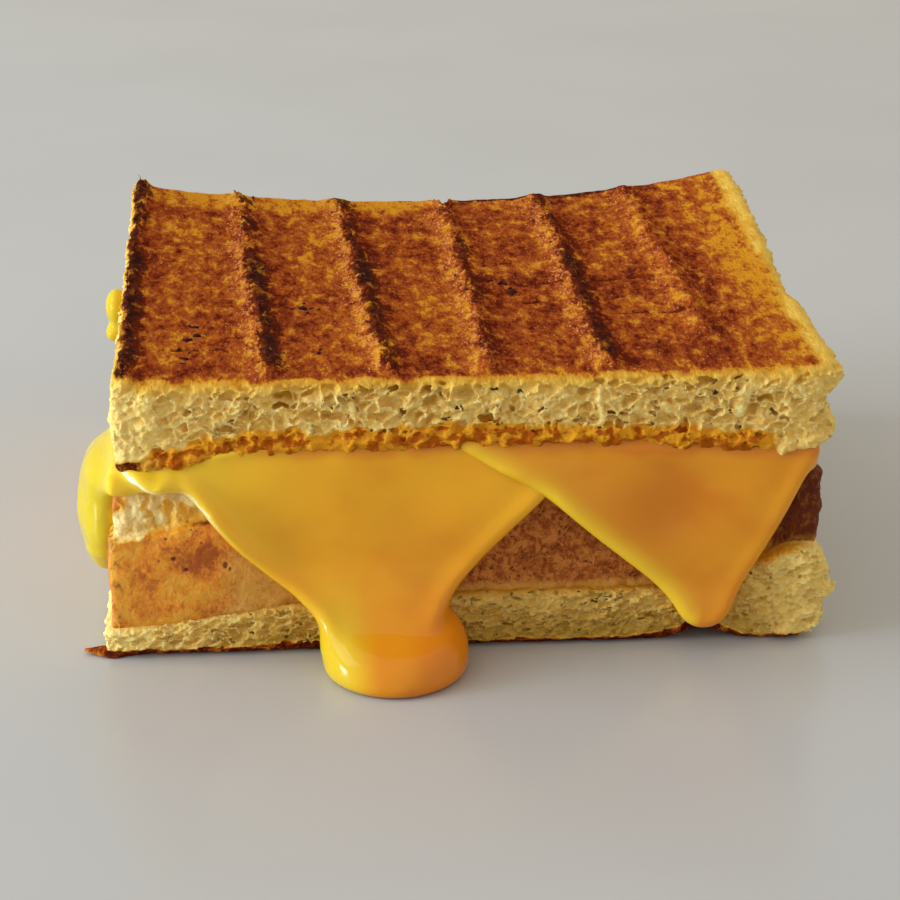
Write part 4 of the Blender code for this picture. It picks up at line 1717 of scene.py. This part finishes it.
def ellipsoid(x: Array, y: Array, z: Array, centre: Place, radii: Size) -> Array:
    """Field of an ellipsoid, roughly in millimetres."""
    q = np.sqrt(sum(((p - c) / r) ** 2 for p, c, r in zip((x, y, z), centre, radii)))
    return (q - 1.0) * min(radii)


@dataclass
class Cheese:
    """What both slices of cheese share: a flat layer, and a corner that hangs over the front."""

    name: str
    low: Place
    high: Place
    triangles: int
    left: float
    right: float
    back: float
    edge: float
    blend: float
    outline: Line
    wobble: Lattice
    step: float = 0.46
    front: float = -47.0
    relaxed: int = 4

    def make(self) -> bpy.types.Object:
        """Build the slice and mark its colours.

        Returns:
            The piece.
        """
        grid = Grid(self.low, self.high, self.step * COARSE)
        piece = sculpt(self.name, grid, self.shape(grid), self.triangles, self.relaxed)
        self.mark(piece.data)
        return piece

    def inset(self, x: Array, z: Array) -> Array:
        """Distance to the outline of the hanging corner, negative inside."""
        return outline_distance(x, z, rounded(list(self.outline)))

    def layer(self, grid: Grid, ends: tuple[Array, Array], roof: Array, floor: Array) -> Array:
        """Field of the part that lies in the sandwich and sags over the back of the filling.

        Args:
            grid: Where to work it out.
            ends: X of its left and its right side.
            roof: Height of its upper side.
            floor: Height of its underside.

        Returns:
            The field, negative inside.
        """
        x, y, z = grid.axes()
        sag = (1.2 + 2.4 * self.wobble.rough(x, 3.0, 0.0, 8.0, 3)) * ramp(y, 45.4, 47.0)
        ragged = 1.1 * self.wobble.rough(x, 0.0, 0.0, 9.0)
        across = smooth_max(ends[0] - x, x - ends[1], 1.0)
        along = smooth_max(self.front - y, y - self.back - ragged, 1.0)
        sides = smooth_max(across, along, 1.2)
        return smooth_max(smooth_max(z - roof, floor - sag - z, self.blend), sides, self.blend)

    @staticmethod
    def under_toast(x: Array, z: Array, plate: Array) -> Array:
        """Field of the hanging corner, cut off where it meets the toast above it."""
        return smooth_max(plate, z - LAYERS.toast_under(x, LAYERS.front) - 0.3, 2.6)

    def shade_of_toast(self, x: Array, y: Array, z: Array) -> Array:
        """How far the front lies in the shade close under the toast, from 0 to 1."""
        below = LAYERS.toast_under(x, y) + 0.4 * self.wobble.at(x, y, z, 2.5) - z
        return fall(below, 0.3, 2.6) * ramp(-y, 44.0, 46.0)

    def shape(self, grid: Grid) -> Array:
        """Field of the slice, worked out by each kind of slice."""
        raise NotImplementedError

    def mark(self, mesh: bpy.types.Mesh) -> None:
        """Mark a mesh's colours, worked out by each kind of slice."""
        raise NotImplementedError


@dataclass
class LeftCheese(Cheese):
    """Left slice of cheese, with a thick drip, its puddle and a lobe over the left side."""

    name: str = "left_cheese"
    low: Place = (-62.5, -66.0, -0.9)
    high: Place = (25.0, 50.5, 38.5)
    triangles: int = 120_000
    left: float = -53.6
    right: float = 21.0
    back: float = 47.0
    edge: float = 1.35
    blend: float = 1.4
    above_table: float = 0.03
    puddle: Place = (-12.0, -53.0, 7.6)
    puddle_radius: float = 10.9
    tongue: tuple[Place, Size] = ((-55.1, -32.5, 18.9), (4.9, 10.0, 9.3))
    root: tuple[Place, Size] = ((-52.6, -33.5, 26.4), (4.6, 9.6, 3.2))
    ball: tuple[Place, Size] = ((-56.6, 20.0, 33.3), (2.0, 3.4, 3.2))
    bead: tuple[Place, Size] = ((-57.2, 19.0, 28.8), (1.5, 2.0, 1.4))
    neck: tuple[Place, Size] = ((-54.0, 20.0, 29.6), (4.0, 3.0, 1.6))
    outline: Line = (
        (-53.2, 33.0), (-52.8, 31.0), (-50.4, 28.8), (-47.2, 27.0), (-44.4, 27.2), (-42.0, 26.2),
        (-38.8, 22.2), (-35.6, 18.2), (-30.6, 13.4), (-26.4, 10.0), (-23.6, 7.0), (-22.4, 2.0),
        (-14.0, 0.5), (-5.2, 2.0), (-4.6, 6.4), (-2.8, 10.6), (3.6, 17.6), (10.8, 25.0),
        (17.0, 31.5), (16.0, 36.8), (-18.0, 37.0), (-46.0, 35.0),
    )
    swelling: Line = (
        (-57.0, 0.0), (-53.5, 0.2), (-46.0, 3.6), (-43.4, 1.8), (-38.2, 3.8), (-33.0, 2.2),
        (-24.0, 0.8), (20.0, 0.6),
    )
    wobble: Lattice = field(default_factory=lambda: Lattice(91))

    def drape(self, x: Array, y: Array, z: Array) -> Array:
        """Field of the corner that hangs over the front.

        Args:
            x, y, z: Places along each axis.

        Returns:
            The field, negative inside.
        """
        flat = self.inset(x, z)
        low = fall(z, 3.0, 17.0)
        roll = 0.5 * hump(flat, -1.5, 1.5) * np.interp(x, *zip(*self.swelling))
        foot = fall(z, 4.0, 13.0) ** 1.4
        half = 1.45 + 2.0 * low + roll + 1.9 * foot
        dip = 0.45 * self.wobble.at(x, 0.0, z, 8.5) + 0.5 * hump(np.hypot(x + 8.0, z - 21.0), 0.0, 6.0)
        under_right = ramp(x + 1.75 * (z - 25.5), 12.0, 20.0)
        middle = -46.6 - 0.9 * fall(z, 22.0, 33.0) - 2.0 * low - 2.1 * foot - 0.5 * roll
        middle = middle + dip + 1.4 * under_right
        edge = np.clip(0.8 * half, self.edge, 4.5)
        return self.under_toast(x, z, rounded_plate(flat, y - middle, half, edge))

    def shape(self, grid: Grid) -> Array:
        """Field of the slice.

        Args:
            grid: Where to work it out.

        Returns:
            The field, negative inside.
        """
        x, y, z = grid.axes()
        over_filling = LAYERS.filling_over(x)
        roof = mix(LAYERS.toast_under(x, y) + 0.3, over_filling + 3.4, ramp(x, -22.0, -12.0))
        left = self.left + 0.9 * self.wobble.rough(0.0, y, z, 9.0)
        layer = self.layer(grid, (left, self.right), roof, over_filling - 0.6)
        values = grid.full(smooth_min(layer, self.drape(x, y, z), 1.2))
        values = smooth_min(values, self._puddle(x, y, z), 1.0)
        values = smooth_min(values, self._lobe(x, y, z), 3.0)
        values = smooth_min(values, self._blob(x, y, z), 0.9)
        return np.maximum(values, grid.full(self.above_table - z))

    def mark(self, mesh: bpy.types.Mesh) -> None:
        """Mark painted light, paler yellow; painted shade, deeper orange; a darker yellow at its lit side;
        and a painted highlight streak.
        """
        x, y, z = positions(mesh)
        low = fall(z, 4.0, 15.0)
        lobe = ramp(-x, 53.0, 56.5)
        # Painted light: paler yellow on the left part and the lobe, where the window light falls; the
        # puddle's left edge is added below.
        thin = 0.65 * lobe + 0.80 * ramp(-x, 22.0, 48.0) * (1.0 - lobe)
        # Painted shade: deeper orange in the middle, in the lower part, on the puddle's right side and under
        # the toast.
        deep = 0.30 * hump(np.hypot(x + 6.0, z - 17.0), 0.0, 10.0) + 0.70 * low
        deep = deep + 0.6 * ramp(x, -12.0, -3.0) * fall(z, 5.0, 11.0)
        deep = deep + 0.8 * self.shade_of_toast(x, y, z) * ramp(x, -40.0, -30.0)
        deep = deep + 0.15 * hump(z, 14.0, 5.0)
        # Painted: a darker yellow on the left side, which faces the window light; the puddle's lit left part
        # is added below.
        side = ramp(-x, 52.6, 55.0) * ramp(y, -47.0, -43.0)
        # Painted highlight streak along the rolled lower rim of the left slice, at two places.
        milk = (hump(x, -49.8, 3.4) + 0.9 * hump(x, -40.4, 2.2)) * ramp(-y, 45.0, 47.0)
        paint(
            mesh,
            thin=np.maximum(thin, 0.5 * low * ramp(-x, 15.0, 21.0)),
            deep=deep,
            side=np.maximum(side, 0.75 * low * ramp(-x, 14.0, 20.5)),
            inset=-self.inset(x, z) / 4.0,
            milk=milk * fall(z, 30.0, 31.5) * ramp(x, -52.8, -51.4),
        )

    def _puddle(self, x: Array, y: Array, z: Array) -> Array:
        """Field of the button-shaped puddle."""
        px, py, height = self.puddle
        away = np.hypot(x - px, y - py) - self.puddle_radius - 0.25 * self.wobble.at(x, y, 0.0, 9.0)
        away = away + 0.9 * np.clip(1.0 - z / 1.6, 0.0, 1.0) ** 2 + np.clip(z / height, 0.0, 1.0) ** 3
        slope = 0.36 * (y - py) - 0.04 * (x - px)
        return smooth_max(away, z - height - slope, 3.8)

    def _lobe(self, x: Array, y: Array, z: Array) -> Array:
        """Field of the lobe that hangs over the left side."""
        sway = 1.6 * self.wobble.rough(7.0, 0.0, z, 8.0)
        tongue = ellipsoid(x, y + sway, z, *self.tongue) + 0.5 * self.wobble.rough(5.0, y, z, 6.0)
        return smooth_min(tongue, ellipsoid(x, y, z, *self.root), 3.0)

    def _blob(self, x: Array, y: Array, z: Array) -> Array:
        """Field of the bit squeezed out further back."""
        ball, bead, neck = (ellipsoid(x, y, z, *each) for each in (self.ball, self.bead, self.neck))
        return smooth_min(smooth_min(ball, neck, 1.2), bead, 0.8)


@dataclass
class RightCheese(Cheese):
    """Right slice of cheese, lying over the left one and ending in a hanging drop."""

    name: str = "right_cheese"
    low: Place = (-16.0, -55.0, 1.0)
    high: Place = (55.0, 50.5, 39.0)
    triangles: int = 90_000
    left: float = -12.5
    right: float = 51.6
    back: float = 46.8
    edge: float = 1.3
    blend: float = 1.2
    outline: Line = (
        (-9.0, 37.5), (-1.4, 32.4), (4.2, 29.0), (10.4, 25.4), (18.6, 18.2), (26.0, 11.9),
        (29.4, 8.4), (31.6, 5.2), (34.0, 3.9), (36.6, 4.2), (38.6, 6.0), (40.4, 9.8), (44.6, 16.6),
        (49.0, 25.4), (51.8, 31.4), (50.0, 36.0), (24.0, 38.0),
    )
    wobble: Lattice = field(default_factory=lambda: Lattice(101))

    def drape(self, x: Array, y: Array, z: Array) -> Array:
        """Field of the corner that hangs over the front.

        Args:
            x, y, z: Places along each axis.

        Returns:
            The field, negative inside.
        """
        flat = self.inset(x, z)
        low = fall(z, 4.0, 13.0)
        over_left = fall(x + 1.75 * (z - 25.5), 11.0, 30.0) * (1.0 - 0.8 * ramp(z, 29.5, 32.5))
        bead = hump(flat, -1.7, 1.7) * fall(x, 12.0, 20.0) * fall(z, 29.0, 32.0)
        half = 1.45 + 0.9 * low + 0.30 * hump(flat, -1.4, 1.3) + 0.5 * bead
        dip = 0.45 * self.wobble.at(x, 0.0, z, 9.0) + 0.7 * hump(np.hypot(x - 29.0, z - 22.0), 0.0, 5.5)
        middle = -46.8 - 0.8 * fall(z, 20.0, 32.0) - over_left - 0.8 * low + dip
        return self.under_toast(x, z, rounded_plate(flat, y - middle, half, self.edge))

    def shape(self, grid: Grid) -> Array:
        """Field of the slice, which is lifted over the left one.

        Args:
            grid: Where to work it out.

        Returns:
            The field, negative inside.
        """
        x, y, z = grid.axes()
        floor = LAYERS.filling_over(x) - 0.6 + 3.6 * fall(x, 18.5, 24.5)
        right = self.right + 0.8 * self.wobble.rough(0.0, y, z, 8.0)
        layer = self.layer(grid, (self.left, right), LAYERS.toast_under(x, y) + 0.3, floor)
        return grid.full(smooth_min(layer, self.drape(x, y, z), 1.2))

    def mark(self, mesh: bpy.types.Mesh) -> None:
        """Mark painted light on the cheese's left-facing rim, and painted shade, deeper orange, over the
        rest.
        """
        x, y, z = positions(mesh)
        # Painted light on the left-facing rim, where the window light catches it (the thin share).
        leftward = ramp(self.inset(x - 0.8, z) - self.inset(x + 0.8, z), 0.3, 1.0)
        rim = hump(self.inset(x, z), -1.0, 1.7) * leftward * ramp(-y, 46.0, 48.0)
        # Painted shade: deeper orange over the slice, most in the middle, near the bottom and under the
        # toast; less on the lit rim.
        deep = 0.48 + 0.42 * hump(np.hypot(x - 27.0, (z - 23.0) * 1.4), 0.0, 11.0) - 0.5 * rim
        deep = deep + 0.25 * fall(z, 6.0, 16.0) + 0.6 * self.shade_of_toast(x, y, z)
        paint(mesh, thin=0.7 * rim, deep=deep, side=0.0, inset=0.0, milk=0.0)


# ---------------------------------------------------------------- loose bits


class Bit(Enum):
    """Kinds of loose bit on top of the toast."""

    GRAIN = "burnt_grains"
    FLAKE = "burnt_flakes"


@dataclass
class LooseBits:
    """Burnt grains along the ridges, or a few dark flakes between them."""

    kind: Bit
    toast: Toast
    count: int
    seed: int
    clusters: Line = ((-42.5, -35.0), (-41.5, -26.5), (-24.5, -14.0), (-22.5, -33.0), (8.0, -4.0))
    cluster_spread: tuple[float, float] = (1.2, 2.6)
    crowding: tuple[float, ...] = (2.2, 1.0, 1.1, 0.8, 0.9, 0.3)

    def _places(self, rng: np.random.Generator) -> Array:
        """X and Y of each bit.

        Args:
            rng: Source of the random numbers.

        Returns:
            One row for each bit.
        """
        y = rng.uniform(-45.5, 46.0, self.count)
        if self.kind is Bit.FLAKE:
            middles = np.array(self.clusters)[rng.integers(0, len(self.clusters), self.count)]
            return middles + rng.normal(0.0, 1.0, (self.count, 2)) * np.array(self.cluster_spread)
        ridges = self.toast.ridges
        weights = np.array([ridge.char for ridge in ridges]) * np.array(self.crowding)
        chosen = rng.choice(len(weights), self.count, p=weights / weights.sum())
        front = np.array([ridge.front for ridge in ridges])[chosen]
        back = np.array([ridge.back for ridge in ridges])[chosen]
        x = mix(front, back, LAYERS.depth(y)) + rng.normal(0.5, 1.1, self.count)
        return np.stack([np.maximum(x, self.toast.left_at(y) + 1.0), y], 1)

    def _bit(self, rng: np.random.Generator, ball: Array) -> tuple[Array, float]:
        """One bit, pressed out of shape and turned.

        Args:
            rng: Source of the random numbers.
            ball: Points of a ball.

        Returns:
            Its points round its own middle, and its size.
        """
        size = rng.uniform(0.12, 0.26)
        stretch = rng.uniform(0.6, 1.3, 3)
        if self.kind is Bit.FLAKE:
            size = rng.uniform(0.16, 0.42)
            stretch = np.array([rng.uniform(1.2, 2.8), rng.uniform(0.5, 1.3), rng.uniform(0.5, 1.5)])
        turn = rng.uniform(0.0, math.pi)
        shape = ball * rng.uniform(0.75, 1.2, (len(ball), 1)) * stretch * size
        cos, sin = math.cos(turn), math.sin(turn)
        x, y, z = shape.T
        return np.stack([x * cos - y * sin, x * sin + y * cos, z], 1), size

    def make(self) -> bpy.types.Object:
        """Build all bits of one kind as a single piece.

        Returns:
            The piece.
        """
        rng = np.random.default_rng(self.seed)
        ball, sides = icosahedron()
        points, faces, pale = [], [], []
        for number, (x, y) in enumerate(self._places(rng)):
            ax, ay = np.array([x], np.float32), np.array([y], np.float32)
            z = float((LAYERS.toast_over(ax, ay) + self.toast.relief(ax, ay))[0])
            bit, size = self._bit(rng, ball)
            points.append(bit + np.array([x, y, z + size * 0.12]))
            faces.append(sides + len(ball) * number)
            pale.append(np.full(len(ball), rng.uniform(0.0, 1.0)))
        mesh = new_mesh(self.kind.value, np.concatenate(points), np.concatenate(faces))
        piece = bpy.data.objects.new(self.kind.value, mesh)
        bpy.context.scene.collection.objects.link(piece)
        paint(mesh, pale=np.concatenate(pale) * (0.2 if self.kind is Bit.FLAKE else 1.0))
        log.info("%s: %d bits", self.kind.value, self.count)
        return piece


def icosahedron() -> tuple[Array, Array]:
    """A ball of twenty triangles.

    Returns:
        Its twelve points and its faces.
    """
    long = (1.0 + math.sqrt(5.0)) / 2.0
    points = []
    for a in (-1.0, 1.0):
        for b in (-long, long):
            points += [(0.0, a, b), (a, b, 0.0), (b, 0.0, a)]
    points = np.array(points)
    faces = []
    for trio in itertools.combinations(range(len(points)), 3):
        corners = points[list(trio)]
        if max(np.linalg.norm(corners[m] - corners[m - 1]) for m in range(3)) < 2.1:
            across = np.cross(corners[1] - corners[0], corners[2] - corners[0])
            i, j, k = trio
            faces.append((i, j, k) if np.dot(across, corners.sum(0)) > 0.0 else (i, k, j))
    return points / np.linalg.norm(points[0]), np.array(faces)


# ---------------------------------------------------------------- table, light and camera


@dataclass
class Studio:
    """Pale table top, soft window light from the left and the camera."""

    azimuth: float = -3.989
    elevation: float = 22.434
    distance: float = 382.31
    target: Place = (-0.24, 0.0, 13.07)
    lens: float = 90.0
    sensor: float = 36.0
    sight: float = 100.0
    table_size: float = 6000.0
    lit_point: Place = (0.0, 0.0, 20.0)
    room_light: tuple[float, float, float, float] = (1.0, 0.955, 0.85, 1.0)
    room_strength: float = 0.665

    def make(self) -> None:
        """Set up everything round the sandwich."""
        self._table()
        self._lamp("window", (-978.0, -60.0, 228.0), 600.0, 8.1, (0.84, 1.04, 1.28), False)
        self._lamp("window_gap", (-950.0, -230.0, 150.0), 220.0, 2.2, (0.92, 1.02, 1.14))
        self._lamp("upper_window", (-707.0, -60.0, 727.0), 600.0, 1.9, (0.98, 1.0, 1.02))
        self._world()
        self._camera()
        view = bpy.context.scene.view_settings
        view.view_transform = "Standard"
        view.look = "None"

    def _table(self) -> None:
        """Lay the table top under the sandwich."""
        half = self.table_size / 2.0
        corners = np.array([(-half, -half, 0.0), (half, -half, 0.0), (half, half, 0.0), (-half, half, 0.0)])
        mesh = new_mesh("table_top", corners, np.array([[0, 1, 2, 3]]))
        table = bpy.data.objects.new("table_top", mesh)
        bpy.context.scene.collection.objects.link(table)
        mesh.materials.append(TableFinish().material("pale_table"))

    def _lamp(
        self, name: str, place: Place, size: float, power: float, colour: Colour, seen: bool = True
    ) -> None:
        """Hang a soft lamp that shines at the sandwich.

        Args:
            name: Name of the lamp.
            place: Where it hangs, in millimetres.
            size: Length of its side, in millimetres.
            power: Its power in watts.
            colour: Colour of its light.
            seen: Whether it is mirrored in what it lights.
        """
        lamp = bpy.data.lights.new(name, "AREA")
        lamp.shape = "SQUARE"
        lamp.size = size * MM
        lamp.energy = power
        lamp.color = colour
        holder = bpy.data.objects.new(name, lamp)
        holder.visible_glossy = seen
        holder.location = Vector(place) * MM
        aim = Vector(self.lit_point) * MM - holder.location
        holder.rotation_euler = aim.to_track_quat("-Z", "Y").to_euler()
        bpy.context.scene.collection.objects.link(holder)

    def _world(self) -> None:
        """Fill the room with dim even light."""
        world = bpy.data.worlds.new("room")
        world.use_nodes = True
        shade = world.node_tree.nodes["Background"]
        shade.inputs["Color"].default_value = self.room_light
        shade.inputs["Strength"].default_value = self.room_strength
        bpy.context.scene.world = world

    def _camera(self) -> None:
        """Place the camera."""
        camera = bpy.data.cameras.new("camera")
        camera.lens = self.lens
        camera.sensor_width = self.sensor
        camera.clip_end = self.sight
        az, el = math.radians(self.azimuth), math.radians(self.elevation)
        away = Vector((math.sin(az) * math.cos(el), -math.cos(az) * math.cos(el), math.sin(el)))
        holder = bpy.data.objects.new("camera", camera)
        holder.location = (Vector(self.target) + away * self.distance) * MM
        holder.rotation_euler = (-away).to_track_quat("-Z", "Y").to_euler()
        bpy.context.scene.collection.objects.link(holder)
        bpy.context.scene.camera = holder


# ---------------------------------------------------------------- putting it together


def place(piece: bpy.types.Object, finish: bpy.types.Material, slot: str, *nodes: str) -> None:
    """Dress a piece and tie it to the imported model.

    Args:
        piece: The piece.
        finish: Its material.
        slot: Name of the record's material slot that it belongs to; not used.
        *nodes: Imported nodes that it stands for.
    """
    piece.data.materials.append(finish)
    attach(piece, "root")
    if nodes:
        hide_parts(*nodes)
    log.info("%s is in place", piece.name)


def main() -> None:
    """Build every piece of the sandwich and the studio."""
    logging.basicConfig(level=logging.INFO, format="%(name)s: %(message)s")
    bread = BreadFinish().material("bread")
    melted = CheeseFinish().material("melted_cheese")
    toast = Toast()
    for piece in toast.make():
        place(piece, bread, "toasted_bread", "bread_top")
    for piece in BottomSlice().make():
        place(piece, bread, "bread_crumb", "bread_bottom")
    skin = FillingFinish().material("browned_skin")
    for piece in Filling().make():
        place(piece, skin, "browned_filling", "browned_filling")
    place(LeftCheese().make(), melted, "melted_cheese", "cheese_left")
    place(RightCheese().make(), melted, "melted_cheese", "cheese_right")
    cinder = CinderFinish().material("cinders")
    place(LooseBits(Bit.GRAIN, toast, 260, 5).make(), cinder, "toasted_bread")
    place(LooseBits(Bit.FLAKE, toast, 26, 6).make(), cinder, "toasted_bread")
    Studio().make()


if __name__ == "__main__":
    main()
